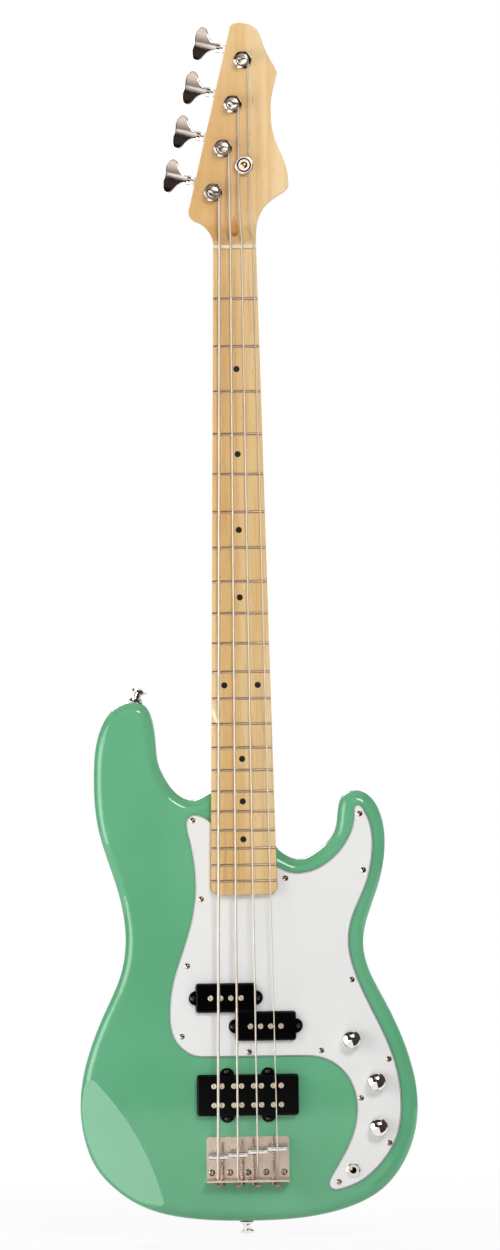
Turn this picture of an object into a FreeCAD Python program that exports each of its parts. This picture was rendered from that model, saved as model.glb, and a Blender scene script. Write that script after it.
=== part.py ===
import FreeCAD, Part
import math
import os

vec = FreeCAD.Vector

# An electric bass guitar standing upright: X to the right, Y to the back, Z up the neck.
# The origin is on the neck's centre line, at the nut's playing edge, on the fretboard's crown.
# All lengths are millimetres.

# Strings and scale
scale_length = 863.6
fret_count = 21
semitones = 12
string_names = ("e", "a", "d", "g")
string_diameters = (2.67, 2.16, 1.65, 1.14)
nut_string_pitch = 10.7
nut_string_shift = 1.7
bridge_string_pitch = 19.0
nut_action = 1.6
bridge_action = 5.0
groove_clearance = 0.12
ball_radius = 2.9
ball_length = 4.6

# Neck
neck_nut_width = 41.3
neck_heel_width = 63.9
neck_nut_depth = 20.5
neck_upper_depth = 22.5
neck_edge_depth = 5.5
heel_depth = 25.4
heel_length = 106.0
heel_blend_length = 26.0
heel_tail = 13.0
heel_corner_radius = 8.0
fretboard_radius = 241.3
fret_width = 2.6
fret_height = 1.1
fret_tang_width = 0.6
fret_tang_depth = 1.8
fret_inset = 0.5
dot_radius = 3.0
dot_depth = 1.6
dot_frets = (3, 5, 7, 9, 15, 17, 19)
double_dot_fret = 12
double_dot_spread = 32.0
side_dot_radius = 1.1
side_dot_drop = 3.6
nut_thickness = 3.4
nut_seat_depth = 2.5
nut_rise = 2.2
truss_depth = 9.1
truss_rod_radius = 2.4
truss_bore_radius = 3.4
truss_nut_radius = 4.2
truss_nut_length = 12.0
truss_nut_recess = 3.0
truss_slot_width = 1.6
truss_nut_gap = 0.8
truss_rod_gap = 0.16
stripe_width = 6.4
stripe_nut_inset = 32.0
stripe_heel_inset = 66.0
plug_start = 8.0
plug_radius = 3.8
plug_lift = 0.25

# Headstock
head_length = 217.0
head_width = 96.0
head_drop = 12.5
head_thickness = 14.0
head_shelf = 6.0
head_ramp_length = 30.0
head_back_blend = 30.0
left_shoulder_shares = (
    (-0.225, 0.047), (-0.277, 0.088), (-0.352, 0.115), (-0.429, 0.133), (-0.455, 0.157), (-0.445, 0.190))
crown_shares = (
    (-0.018, 0.979), (-0.003, 0.992), (0.044, 0.999), (0.104, 1.0), (0.181, 0.991), (0.242, 0.974),
    (0.286, 0.943), (0.315, 0.902), (0.359, 0.855), (0.419, 0.807), (0.449, 0.780))
scoop_shares = (
    (0.449, 0.780), (0.433, 0.753), (0.408, 0.712), (0.380, 0.631), (0.381, 0.577), (0.395, 0.523),
    (0.430, 0.469), (0.491, 0.407), (0.534, 0.347), (0.545, 0.299))
right_shoulder_shares = (
    (0.545, 0.299), (0.532, 0.265), (0.477, 0.245), (0.384, 0.219), (0.292, 0.179), (0.244, 0.139),
    (0.220, 0.091))
first_post_share = (-0.208, 0.250)
last_post_share = (0.104, 0.8346)
retainer_share = (0.105, 0.369)

# Tuners
post_radius = 5.0
post_waist_radius = 4.7
post_cap_radius = 5.3
post_height = 16.5
post_cap_height = 2.6
post_dome_rise = 0.06
post_edge_round = 0.7
post_slot_width = 2.9
post_slot_depth = 6.5
post_well_radius = 1.5
post_running_clearance = 0.06
bushing_radius = 7.4
bushing_reach = 11.0
hex_across_flats = 15.6
hex_height = 2.6
nut_face_share = 0.94
hex_face_share = 0.8
nut_bevel_angle = 30.0
washer_radius = 8.8
washer_thickness = 1.0
washer_edge_round = 0.4
gear_module = 0.5
gear_teeth = 20
gear_thickness = 3.4
gear_start = 1.6
worm_pitch_radius = 2.5
worm_length = 9.0
tooth_backlash = 0.14
tooth_pressure_angle = 20.0
tooth_tip_gap = 0.25
worm_shaft_radius = 1.9
worm_running_clearance = 0.06
housing_wall = 1.8
housing_gap = 0.6
housing_edge_round = 1.6
housing_snout_radius = 4.2
housing_snout_reach = 21.0
housing_ear_radius = 3.4
housing_ear_thickness = 2.4
key_reach = 24.0
key_collar_radius = 4.6
key_collar_length = 2.4
key_length = 23.5
key_width = 33.0
key_thickness = 7.0
key_crown = 2.2
key_edge_round = 1.0
key_shares = (
    (0.0, 0.13), (0.28, 0.15), (0.48, 0.33), (0.62, 0.47), (0.78, 0.5), (0.93, 0.41), (0.985, 0.22))
key_waist_share = 0.945
wrap_clearance = 0.16
wrap_base_gap = 0.5
wrap_loop_gap = 0.55
wrap_turns = (1.75, 2.25, 2.75, 3.25)
wrap_lead = 8.0
wrap_lead_bend_radius = 24.0
nut_bend_radius = 18.0
retainer_radius = 8.7
retainer_thickness = 1.8
retainer_hub_radius = 3.2
retainer_groove_share = 0.71
retainer_groove_radius = 0.8
retainer_lift = 6.0
retainer_string_spread = 11.0
retainer_bend_radius = 15.0
retainer_bend_reach = 1.4

# Body
body_width = 324.0
body_length = 500.0
body_thickness = 42.0
horn_reach = 185.6
pocket_depth = 15.0
pocket_clearance = 0.2
body_edge_round = 11.0
edge_round_share = 0.88
forearm_trough_radius = 1150.0
forearm_angle = 13.0
forearm_heading = 27.0
forearm_share = (-0.315, 0.852)
contour_rim_round = 4.0
belly_trough_radius = 420.0
belly_angle = 12.0
belly_heading = 4.0
belly_share = (-0.225, 0.405)
body_shares = (
    (-0.3145, 0.0), (-0.380, 0.013), (-0.420, 0.052), (-0.441, 0.135), (-0.430, 0.243), (-0.376, 0.359),
    (-0.354, 0.446), (-0.371, 0.526), (-0.4135, 0.589), (-0.4625, 0.665), (-0.4935, 0.757),
    (-0.4846, 0.837), (-0.4503, 0.895), (-0.3978, 0.934), (-0.304, 0.973), (-0.174, 0.994), (-0.006, 1.0),
    (0.151, 0.996), (0.285, 0.979), (0.3985, 0.942), (0.4676, 0.885), (0.504, 0.807), (0.4925, 0.712),
    (0.4525, 0.635), (0.4096, 0.577), (0.3664, 0.519), (0.351, 0.464), (0.3627, 0.423), (0.3935, 0.366),
    (0.419, 0.280), (0.4028, 0.2126), (0.3769, 0.1876), (0.333, 0.1755), (0.297, 0.185), (0.2815, 0.2116),
    (0.272, 0.250), (0.2506, 0.2726), (0.2117, 0.2934), (0.158, 0.3062), (0.1265, 0.2985), (0.102, 0.286),
    (0.086, 0.262), (0.0705, 0.222), (0.0375, 0.185), (-0.02, 0.1655), (-0.098, 0.1754), (-0.156, 0.190),
    (-0.191, 0.180), (-0.226, 0.153), (-0.249, 0.120), (-0.257, 0.072), (-0.266, 0.034), (-0.2824, 0.0106))

# Neck joint hardware
plate_width = 46.0
plate_length = 60.0
plate_thickness = 1.8
plate_corner = 4.0
plate_inset = 5.0
plate_screw_inset = 6.5
neck_screw_radius = 2.3
neck_screw_bite = 15.0

# Pickguard
guard_thickness = 2.4
guard_edge_bevel = 1.9
guard_neck_gap = 0.4
guard_shares = (
    (-0.0966, 0.2298), (-0.1253, 0.2186), (-0.1463, 0.2166), (-0.1648, 0.2242), (-0.1691, 0.234),
    (-0.1623, 0.2634), (-0.1481, 0.3154), (-0.1454, 0.3652), (-0.159, 0.4234), (-0.1889, 0.4862),
    (-0.2176, 0.5474), (-0.2262, 0.5974), (-0.2139, 0.6474), (-0.1892, 0.6682), (-0.1623, 0.6796),
    (-0.1398, 0.6835), (-0.11, 0.6842), (-0.03, 0.6842), (0.06, 0.6842), (0.14, 0.6842), (0.188, 0.6846),
    (0.233, 0.6906), (0.2716, 0.7054), (0.3077, 0.7352), (0.3241, 0.7754), (0.3133, 0.8308),
    (0.2741, 0.8842), (0.2472, 0.9134), (0.2386, 0.928), (0.241, 0.9364), (0.2537, 0.942), (0.2765, 0.9406),
    (0.3145, 0.9324), (0.391, 0.895), (0.4451, 0.837), (0.4586, 0.7734), (0.4407, 0.695), (0.3861, 0.6088),
    (0.3281, 0.5244), (0.3096, 0.4674), (0.3194, 0.4214), (0.3552, 0.367), (0.3818, 0.3022),
    (0.3769, 0.2372), (0.3614, 0.213), (0.3435, 0.2016), (0.3327, 0.2042), (0.3278, 0.2194),
    (0.3164, 0.2554), (0.287, 0.2864), (0.2216, 0.3212), (0.1738, 0.3304), (0.1423, 0.3298),
    (0.1052, 0.3202), (0.0, 0.28))
guard_screw_shares = (
    (-0.1497, 0.2282), (-0.1278, 0.3794), (-0.1722, 0.5074), (-0.191, 0.643), (0.0077, 0.6742),
    (0.2222, 0.6732), (0.338, 0.7656), (0.2685, 0.9262), (0.4201, 0.8526), (0.4216, 0.6916),
    (0.3151, 0.538), (0.3537, 0.3278), (0.3454, 0.2196), (0.1228, 0.3416))

# Small screws, each with a domed cross-slotted head
guard_screw_head = 2.8
guard_screw_radius = 1.3
guard_screw_length = 12.0
pickup_screw_head = 2.6
pickup_screw_radius = 1.3
pickup_screw_length = 26.0
bridge_screw_head = 3.2
bridge_screw_radius = 1.7
bridge_screw_length = 26.0
neck_screw_head = 4.4
strap_screw_head = 3.4
strap_screw_radius = 2.0
strap_screw_length = 30.0
tuner_screw_head = 2.5
tuner_screw_radius = 1.2
tuner_screw_length = 10.0
retainer_screw_head = 3.4
retainer_screw_radius = 1.6
retainer_screw_length = 16.0
screw_fit = 0.05
screw_tip_share = 0.2
head_rise_share = 0.45
slot_width_share = 0.26
slot_reach_share = 0.62

# Pickups
split_pickup_width = 57.0
split_pickup_depth = 27.0
split_pickup_gap = 0.4
split_pickup_step = 37.9
split_pickup_share = 0.8485
bridge_pickup_width = 96.5
bridge_pickup_depth = 38.5
bridge_pickup_shift = 0.8
bridge_pickup_share = 0.941
cover_rise = 5.6
bridge_cover_rise = 8.2
cover_height = 19.0
cover_wall = 1.6
cover_corner = 3.0
cover_edge_round = 1.4
ear_radius = 6.4
ear_thickness = 4.0
ear_drop = 2.2
bridge_ear_spread = 39.6
rout_gap = 0.7
rout_depth = 23.0
pole_radius = 2.6
pole_fit = 0.05
pole_length = 16.0
pole_rise = 0.5
pole_edge_round = 0.35
pole_dimple_radius = 1.3
pole_dimple_floor = 0.35
pole_dimple_depth = 0.9
pole_pitch = 9.8
pole_pair_pitch = 7.4
pole_row_spread = 18.3
coil_gap = 0.8
coil_height = 12.0
foam_width_share = 0.5
foam_depth_share = 0.6

# Bridge
bridge_width = 79.2
bridge_front_reach = 11.1
bridge_length = 43.1
bridge_plate_thickness = 2.0
bridge_lip_thickness = 2.2
bridge_lip_rise = 3.6
bridge_lip_round = 0.5
bridge_corner_round = 3.0
bridge_screw_count = 5
bridge_screw_pitch = 17.4
bridge_screw_inset = 8.8
saddle_setbacks = (7.2, 5.3, 2.5, 0.0)
saddle_radius = 3.1
saddle_length = 18.4
saddle_groove_depth = 0.5
saddle_screw_radius = 1.2
saddle_screw_spread = 14.9
saddle_foot_gap = 0.05
saddle_travel = 6.0
intonation_screw_radius = 1.25
intonation_screw_offset = 4.0
intonation_screw_overreach = 3.0
intonation_head_radius = 2.5
intonation_head_length = 2.4
intonation_thread_gap = 0.06
spring_wire = 0.6
spring_mean_radius = 1.95
spring_pitch = 2.3
spring_end_gap = 0.3
string_hole_drop = 5.2
string_hole_gap = 1.0
string_end_gap = 0.55

# Controls
control_shares = ((0.3117, 0.6516), (0.3843, 0.7334), (0.3889, 0.8208))
jack_share = (0.3114, 0.9038)
control_names = ("front_volume", "rear_volume", "tone")
knob_radius = 8.7
knob_height = 14.5
knob_gap = 0.8
knob_dome_rise = 4.2
knob_top_round = 1.4
knob_recess_radius = 7.3
knob_recess_depth = 3.6
knob_bore_depth = 10.0
pot_radius = 12.0
pot_depth = 9.0
pot_bushing_radius = 4.6
pot_bushing_rise = 2.6
pot_hole_gap = 0.15
pot_shaft_radius = 3.0
pot_shaft_clearance = 0.06
pot_shaft_root = 3.0
pot_lug_width = 2.0
pot_lug_thickness = 0.8
pot_lug_length = 5.0
pot_lug_pitch = 5.0
control_nut_flats = 11.5
control_nut_height = 2.0
jack_bore_radius = 3.25
jack_tube_radius = 4.6
jack_tube_rise = 2.4
jack_depth = 9.0
jack_flange_radius = 7.6
jack_flange_thickness = 2.0
jack_nut_flats = 12.0
jack_spring_width = 4.0
jack_spring_thickness = 0.7
jack_spring_length = 12.0
capacitor_radius = 4.2
capacitor_thickness = 2.6
cavity_floor = 6.0
cavity_radius = 16.2
cavity_jack_radius = 10.5
cavity_link_width = 25.0
channel_width = 14.0
channel_depth = 20.0
wire_hole_radius = 3.0
wire_radius = 0.8
wire_bend_radius = 4.5
wire_drop = 4.0
split_wire_share = 0.4
bridge_wire_share = 0.4

# Strap buttons
button_head_radius = 7.0
button_rim = 2.0
button_waist_radius = 3.4
button_base_radius = 6.0
button_height = 10.6
button_base_height = 1.6
felt_radius = 6.6
felt_thickness = 1.5
upper_button_share = (-0.3145, 0.0)
lower_button_share = (-0.006, 1.0)
upper_button_tilt = 19.0

# Cuts run past their faces by the overrun, and places closer than the tolerance are the same
overrun = 5.0
touch_tolerance = 0.001
parallel_share = 0.9999
hex_sides = 6
samples_per_edge = 6
outline_spans = 12
samples_per_span = 40
bend_probe = 0.1
wrap_steps_per_turn = 4
spring_steps_per_turn = 2

# Places worked out from the sizes above


def fret_z(number):
    return -scale_length * (1 - 2 ** (-number / semitones))


heel_z = fret_z(fret_count) - heel_tail
heel_top_z = heel_z + heel_length
body_top_z = heel_z + horn_reach
body_front = heel_depth - pocket_depth
body_back = body_front + body_thickness
guard_front = body_front - guard_thickness
head_front = head_drop
head_back = head_drop + head_thickness
bridge_z = -scale_length
string_count = len(string_names)
string_middle = (string_count - 1) / 2
gear_pitch_radius = gear_module * gear_teeth / 2
worm_distance = gear_pitch_radius + worm_pitch_radius
lip_outer_z = bridge_z + bridge_front_reach - bridge_length
lip_inner_z = lip_outer_z + bridge_lip_thickness
bridge_top = body_front - bridge_plate_thickness
front_way = vec(0, -1, 0)
back_way = vec(0, 1, 0)


def neck_width(z):
    return neck_nut_width + (neck_heel_width - neck_nut_width) * z / heel_z


def crown_drop(x):
    return fretboard_radius - math.sqrt(fretboard_radius ** 2 - x ** 2)


def on_body(share):
    return (share[0] * body_width, body_top_z - share[1] * body_length)


def on_head(share):
    return (share[0] * head_width, share[1] * head_length)


def string_radius(index):
    return string_diameters[index] / 2


def nut_x(index):
    return (index - string_middle) * nut_string_pitch + nut_string_shift


def bridge_x(index):
    return (index - string_middle) * bridge_string_pitch


def post_place(index):
    first = on_head(first_post_share)
    last = on_head(last_post_share)
    part_way = index / (string_count - 1)
    return (first[0] + (last[0] - first[0]) * part_way, first[1] + (last[1] - first[1]) * part_way)


# Shape helpers


def plan(place, y=0):
    return vec(place[0], y, place[1])


def curve_through(points):
    curve = Part.BSplineCurve()
    curve.interpolate(points)
    return curve.toShape()


def closed_curve(points):
    curve = Part.BSplineCurve()
    curve.interpolate(Points=points, PeriodicFlag=True)
    step = (curve.LastParameter - curve.FirstParameter) / outline_spans
    marks = [curve.FirstParameter + step * number for number in range(outline_spans + 1)]
    return Part.Wire([curve.toShape(low, high) for low, high in zip(marks, marks[1:])])


def least_outward_radius(outline):
    # The tightest bend that swells outward, which limits how far the outline's edge can be rounded.
    face = Part.Face(outline)
    radii = []
    for edge in outline.Edges:
        step = (edge.LastParameter - edge.FirstParameter) / samples_per_span
        for number in range(samples_per_span):
            mark = edge.FirstParameter + step * number
            bend = edge.curvatureAt(mark)
            inner = edge.valueAt(mark) + edge.normalAt(mark) * bend_probe
            if bend > 0 and face.isInside(inner, touch_tolerance, False):
                radii.append(1 / bend)
    return min(radii)


def prism(wire, front, back):
    face = Part.Face(wire)
    face.translate(vec(0, front, 0))
    return face.extrude(vec(0, back - front, 0))


def bar(place, radius, front, back):
    return Part.makeCylinder(radius, back - front, plan(place, front), back_way)


def rod(start, end, radius):
    return Part.makeCylinder(radius, (end - start).Length, start, end - start)


def block(left, right, front, back, low, high):
    return Part.makeBox(right - left, back - front, high - low, vec(left, front, low))


def edges_along(shape, way):
    found = []
    for edge in shape.Edges:
        run = edge.Vertexes[-1].Point - edge.Vertexes[0].Point
        if run.Length > 0 and abs(run.dot(way)) > run.Length * parallel_share:
            found.append(edge)
    return found


def rounded_block(place, width, height, corner, front, back):
    x, z = place
    shape = block(x - width / 2, x + width / 2, front, back, z - height / 2, z + height / 2)
    return shape.makeFillet(corner, edges_along(shape, back_way))


def edges_at_y(shape, y):
    return [edge for edge in shape.Edges
            if max(abs(edge.BoundBox.YMin - y), abs(edge.BoundBox.YMax - y)) < touch_tolerance]


def rim_edges(shape, radius, y):
    # The edges of a trough of this radius, but for the one in the flat face at y.
    faces = [face for face in shape.Faces if isinstance(face.Surface, Part.Cylinder)
             and abs(face.Surface.Radius - radius) < touch_tolerance]
    edges = [edge for face in faces for edge in face.Edges]
    flat = edges_at_y(shape, y)
    return [edge for edge in edges if not any(edge.isSame(other) for other in flat)]


def edges_at_z(shape, z):
    # The edges along Y at one height, such as the two lower corners of a pocket.
    return [edge for edge in edges_along(shape, back_way) if abs(edge.BoundBox.ZMin - z) < touch_tolerance]


def hex_bar(place, across_flats, front, back):
    corner = across_flats / math.sqrt(3)
    turns = [2 * math.pi * side / hex_sides for side in range(hex_sides + 1)]
    points = [vec(place[0] + corner * math.cos(a), 0, place[1] + corner * math.sin(a)) for a in turns]
    return prism(Part.makePolygon(points), front, back)


def hex_nut(place, across_flats, face_share, front, back):
    # A hexagon whose front corners are turned off to a round face.
    inner = across_flats / 2 * face_share
    outer = across_flats / math.sqrt(3) + overrun
    drop = (outer - inner) * math.tan(math.radians(nut_bevel_angle))
    cone = turned([(0, front), (inner, front), (outer, front + drop), (outer, back), (0, back)])
    cone.translate(plan(place))
    return hex_bar(place, across_flats, front, back).common(cone)


def turned(points):
    profile = Part.makePolygon([vec(r, y, 0) for r, y in points] + [vec(points[0][0], points[0][1], 0)])
    return Part.Face(profile).revolve(vec(0, 0, 0), back_way, 360)


def placed(shape, place, way):
    copy = shape.copy()
    copy.Placement = FreeCAD.Placement(place, FreeCAD.Rotation(back_way, way)).multiply(copy.Placement)
    return copy


def one_solid(shape):
    return shape.Solids[0] if len(shape.Solids) == 1 else shape


def arc_between(start, corner, end):
    # The arc that leaves start towards corner and reaches end from corner, both at one distance.
    first = (corner - start).normalize()
    last = (end - corner).normalize()
    lean = math.sqrt((1 + first.dot(last)) / 2)
    middle = (start + end + corner * (2 * lean)) * (1 / (2 + 2 * lean))
    return Part.Arc(start, middle, end).toShape()


def rounded_path(points, radii):
    edges = []
    here = points[0]
    for before, corner, after, radius in zip(points, points[1:], points[2:], radii):
        come = (corner - before).normalize()
        leave = (after - corner).normalize()
        reach = radius * math.tan(come.getAngle(leave) / 2)
        start = corner - come * reach
        end = corner + leave * reach
        edges.append(Part.makeLine(here, start))
        edges.append(arc_between(start, corner, end))
        here = end
    edges.append(Part.makeLine(here, points[-1]))
    return edges


def biarc(start, start_way, end, end_way):
    span = end - start
    both = start_way + end_way
    bend = 2 * (1 - start_way.dot(end_way))
    reach = (math.sqrt(span.dot(both) ** 2 + bend * span.dot(span)) - span.dot(both)) / bend
    first = start + start_way * reach
    last = end - end_way * reach
    middle = (first + last) * 0.5
    return [arc_between(start, first, middle), arc_between(middle, last, end)]


def tube(edges, radius):
    path = Part.Wire(edges)
    start = edges[0].firstVertex().Point
    way = edges[0].tangentAt(edges[0].FirstParameter)
    section = Part.Wire(Part.makeCircle(radius, start, way))
    return path.makePipeShell([section], True, False)


def coil_edges(centre, across, up, radius, pitch, turns, steps_per_turn):
    # A helix about the way across x up, that starts at centre + across * radius.
    rise = across.cross(up)
    count = round(turns * steps_per_turn)

    def point(step):
        angle = 2 * math.pi * step / steps_per_turn
        around = across * math.cos(angle) + up * math.sin(angle)
        return centre + around * radius + rise * (pitch * step / steps_per_turn)

    def heading(step):
        angle = 2 * math.pi * step / steps_per_turn
        around = up * math.cos(angle) - across * math.sin(angle)
        return (around * (2 * math.pi * radius) + rise * pitch).normalize()

    edges = []
    for step in range(count):
        edges += biarc(point(step), heading(step), point(step + 1), heading(step + 1))
    return edges, point(0), heading(0), point(count), heading(count)


def least_self_gap(edges, radius, spread):
    # Samples the path and gives the least clear distance between stretches that aren't neighbours.
    points = []
    for edge in edges:
        points += edge.discretize(samples_per_edge)[:-1]
    walked = [0]
    for before, after in zip(points, points[1:]):
        walked.append(walked[-1] + (after - before).Length)
    least = None
    for i in range(len(points)):
        for j in range(i + 1, len(points)):
            if walked[j] - walked[i] > spread:
                gap = (points[j] - points[i]).Length - 2 * radius
                least = gap if least is None else min(least, gap)
    return least


def wood_screw(head_radius, shank_radius, length):
    # Seated at the origin with its shank along +Y and its domed head on the other side.
    rise = head_radius * head_rise_share
    dome_radius = (head_radius ** 2 + rise ** 2) / (2 * rise)
    ball = Part.makeSphere(dome_radius, vec(0, dome_radius - rise, 0))
    dome = ball.common(Part.makeCylinder(head_radius, rise, vec(0, -rise, 0), back_way))
    tip = length * screw_tip_share
    shank = turned([(0, 0), (shank_radius, 0), (shank_radius, length - tip), (0, length)])
    width = head_radius * slot_width_share / 2
    reach = head_radius * slot_reach_share
    floor = -rise * head_rise_share
    slots = [block(-reach, reach, -rise - overrun, floor, -width, width),
             block(-width, width, -rise - overrun, floor, -reach, reach)]
    return one_solid(dome.fuse(shank).removeSplitter().cut(slots))


# Neck and headstock


def neck_section(z, width, top, side_back, back_middle):
    half = width / 2
    corners = [vec(-half, top, z), vec(half, top, z), vec(half, side_back, z), vec(-half, side_back, z)]
    if back_middle == side_back:
        back = Part.makeLine(corners[2], corners[3])
    else:
        back = Part.Arc(corners[2], vec(0, back_middle, z), corners[3]).toShape()
    return Part.Wire([Part.makeLine(corners[0], corners[1]), Part.makeLine(corners[1], corners[2]),
                      back, Part.makeLine(corners[3], corners[0])])


def neck_shaft():
    blend_z = heel_top_z + heel_blend_length
    shaft = Part.makeLoft([
        neck_section(0, neck_nut_width, 0, neck_edge_depth, neck_nut_depth),
        neck_section(blend_z, neck_width(blend_z), 0, neck_edge_depth, neck_upper_depth)], True, True)
    blend = Part.makeLoft([
        neck_section(blend_z, neck_width(blend_z), 0, neck_edge_depth, neck_upper_depth),
        neck_section(heel_top_z, neck_width(heel_top_z), 0, heel_depth, heel_depth)], True, True)
    heel = Part.makeLoft([
        neck_section(heel_top_z, neck_width(heel_top_z), 0, heel_depth, heel_depth),
        neck_section(heel_z, neck_heel_width, 0, heel_depth, heel_depth)], True, True)
    return shaft.fuse([blend, heel.makeFillet(heel_corner_radius, edges_at_z(heel, heel_z))])


def head_outline():
    half = neck_nut_width / 2
    left = [vec(-half, 0, 0)] + [plan(on_head(share)) for share in left_shoulder_shares]
    crown = [plan(on_head(share)) for share in crown_shares]
    scoop = [plan(on_head(share)) for share in scoop_shares]
    right = [plan(on_head(share)) for share in right_shoulder_shares] + [vec(half, 0, 0)]
    return Part.Wire([curve_through(left), Part.makeLine(left[-1], crown[0]), curve_through(crown),
                      curve_through(scoop), curve_through(right), Part.makeLine(right[-1], left[0])])


def head_side_profile():
    ramp_end = head_shelf + head_ramp_length
    ramp_radius = (head_ramp_length ** 2 + head_drop ** 2) / (2 * head_drop)
    half_turn = math.asin(head_ramp_length / ramp_radius) / 2
    ramp_middle = vec(0, head_drop - ramp_radius + ramp_radius * math.cos(half_turn),
                      ramp_end - ramp_radius * math.sin(half_turn))
    fall = head_back - neck_nut_depth
    back_radius = (head_back_blend ** 2 + fall ** 2) / (2 * fall)
    back_half_turn = math.asin(head_back_blend / back_radius) / 2
    back_middle = vec(0, head_back - back_radius + back_radius * math.cos(back_half_turn),
                      head_back_blend - back_radius * math.sin(back_half_turn))
    top = head_length + overrun
    corners = [vec(0, 0, 0), vec(0, 0, head_shelf), vec(0, head_drop, ramp_end), vec(0, head_drop, top),
               vec(0, head_back, top), vec(0, head_back, head_back_blend), vec(0, neck_nut_depth, 0)]
    wire = Part.Wire([
        Part.makeLine(corners[0], corners[1]),
        Part.Arc(corners[1], ramp_middle, corners[2]).toShape(),
        Part.makeLine(corners[2], corners[3]),
        Part.makeLine(corners[3], corners[4]),
        Part.makeLine(corners[4], corners[5]),
        Part.Arc(corners[5], back_middle, corners[6]).toShape(),
        Part.makeLine(corners[6], corners[0])])
    face = Part.Face(wire)
    face.translate(vec(-head_width, 0, 0))
    return face.extrude(vec(2 * head_width, 0, 0))


def head_block():
    plate = prism(head_outline(), -overrun, head_back + overrun)
    open_z = head_back_blend + head_ramp_length
    wide = 2 * head_width
    deep = head_back + head_back_blend
    blend = Part.makeLoft([
        neck_section(0, neck_nut_width, -overrun, neck_edge_depth, neck_nut_depth),
        neck_section(open_z, wide, -overrun, deep, deep),
        neck_section(head_length + overrun, wide, -overrun, deep, deep)], True, True)
    return plate.common(head_side_profile()).common(blend)


def fret_wire(z, profile, half_length):
    face = Part.Face(profile)
    face.translate(vec(0, 0, z))
    axis = vec(0, fretboard_radius, 0)
    turn = math.degrees(math.asin(half_length / fretboard_radius))
    face.rotate(axis, vec(0, 0, 1), -turn)
    return face.revolve(axis, vec(0, 0, 1), 2 * turn)


def tang_points():
    half = fret_tang_width / 2
    return [vec(0, 0, half), vec(0, fret_tang_depth, half), vec(0, fret_tang_depth, -half), vec(0, 0, -half)]


def fret_profile():
    low = vec(0, 0, -fret_width / 2)
    high = vec(0, 0, fret_width / 2)
    crown = Part.Arc(low, vec(0, -fret_height, 0), high).toShape()
    return Part.Wire([crown] + Part.makePolygon([high] + tang_points() + [low]).Edges)


def tang_profile():
    return Part.makePolygon(tang_points() + [tang_points()[0]])


def fret_half_length(number):
    return neck_width(fret_z(number)) / 2 - fret_inset


def make_frets():
    return [fret_wire(fret_z(n), fret_profile(), fret_half_length(n)) for n in range(1, fret_count + 1)]


def fret_slots():
    return [fret_wire(fret_z(n), tang_profile(), fret_half_length(n)) for n in range(1, fret_count + 1)]


def between_frets(number):
    return (fret_z(number - 1) + fret_z(number)) / 2


def dot_cutters():
    places = [(0, between_frets(n)) for n in dot_frets]
    z = between_frets(double_dot_fret)
    places += [(-double_dot_spread / 2, z), (double_dot_spread / 2, z)]
    dots = []
    for place in places:
        dots.append(bar(place, dot_radius, -dot_depth, crown_drop(place[0]) + dot_depth))
    for number in dot_frets + (double_dot_fret,):
        z = between_frets(number)
        edge = -neck_width(z) / 2
        dots.append(rod(vec(edge - dot_depth, side_dot_drop, z), vec(edge + dot_depth, side_dot_drop, z),
                        side_dot_radius))
    return dots


def truss_cutters():
    low = heel_z + stripe_heel_inset
    slot = block(-stripe_width / 2, stripe_width / 2, truss_depth, heel_depth + overrun, low,
                 -stripe_nut_inset)
    bore = rod(vec(0, truss_depth, heel_z - overrun), vec(0, truss_depth, plug_start), truss_bore_radius)
    recess = rod(vec(0, truss_depth, heel_z - overrun),
                 vec(0, truss_depth, heel_z + truss_nut_recess + truss_nut_length),
                 truss_nut_radius + truss_nut_gap)
    return [slot, bore, recess]


def plug_cutter():
    y = head_drop - plug_lift - plug_radius
    return rod(vec(0, y, plug_start), vec(0, y, head_shelf + head_ramp_length), plug_radius)


def make_walnut_inlays(solid_neck):
    low = heel_z + stripe_heel_inset
    strip = block(-stripe_width / 2, stripe_width / 2, truss_depth + truss_rod_radius + truss_rod_gap,
                  heel_depth + overrun, low, -stripe_nut_inset)
    bore = rod(vec(0, truss_depth, low), vec(0, truss_depth, -stripe_nut_inset), truss_bore_radius)
    return [strip.common(solid_neck).cut(bore), plug_cutter().common(solid_neck)]


def make_truss_rod():
    low = heel_z + truss_nut_recess + truss_nut_length / 2
    return rod(vec(0, truss_depth, low), vec(0, truss_depth, plug_start - truss_rod_gap), truss_rod_radius)


def make_truss_rod_nut():
    low = heel_z + truss_nut_recess
    nut = rod(vec(0, truss_depth, low), vec(0, truss_depth, low + truss_nut_length), truss_nut_radius)
    half = truss_slot_width / 2
    slots = [block(-truss_nut_radius, truss_nut_radius, truss_depth - half, truss_depth + half,
                   low - overrun, low + truss_slot_width),
             block(-half, half, truss_depth - truss_nut_radius, truss_depth + truss_nut_radius,
                   low - overrun, low + truss_slot_width)]
    bore = rod(vec(0, truss_depth, low + truss_nut_length / 2), vec(0, truss_depth, 0), truss_rod_radius)
    return nut.cut(slots + [bore])


def nut_seat():
    half = neck_nut_width
    return block(-half, half, -overrun, nut_seat_depth, 0, nut_thickness)


def make_nut():
    half = neck_nut_width / 2
    shape = block(-half, half, -overrun, nut_seat_depth, 0, nut_thickness)
    crown = rod(vec(0, fretboard_radius, -overrun), vec(0, fretboard_radius, nut_thickness + overrun),
                fretboard_radius + nut_rise)
    return shape.common(crown).cut([nut_groove(i) for i in range(string_count)])


def tuner_frame(index):
    # Local X runs out along the key's shaft, local Y to the back and local Z down the head's edge.
    first = on_head(first_post_share)
    last = on_head(last_post_share)
    lean = math.degrees(math.atan2(last[0] - first[0], last[1] - first[1]))
    return FreeCAD.Placement(plan(post_place(index)), FreeCAD.Rotation(back_way, 180 + lean))


def in_tuner_frame(shape, index):
    copy = shape.copy()
    copy.Placement = tuner_frame(index).multiply(copy.Placement)
    return copy


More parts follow.
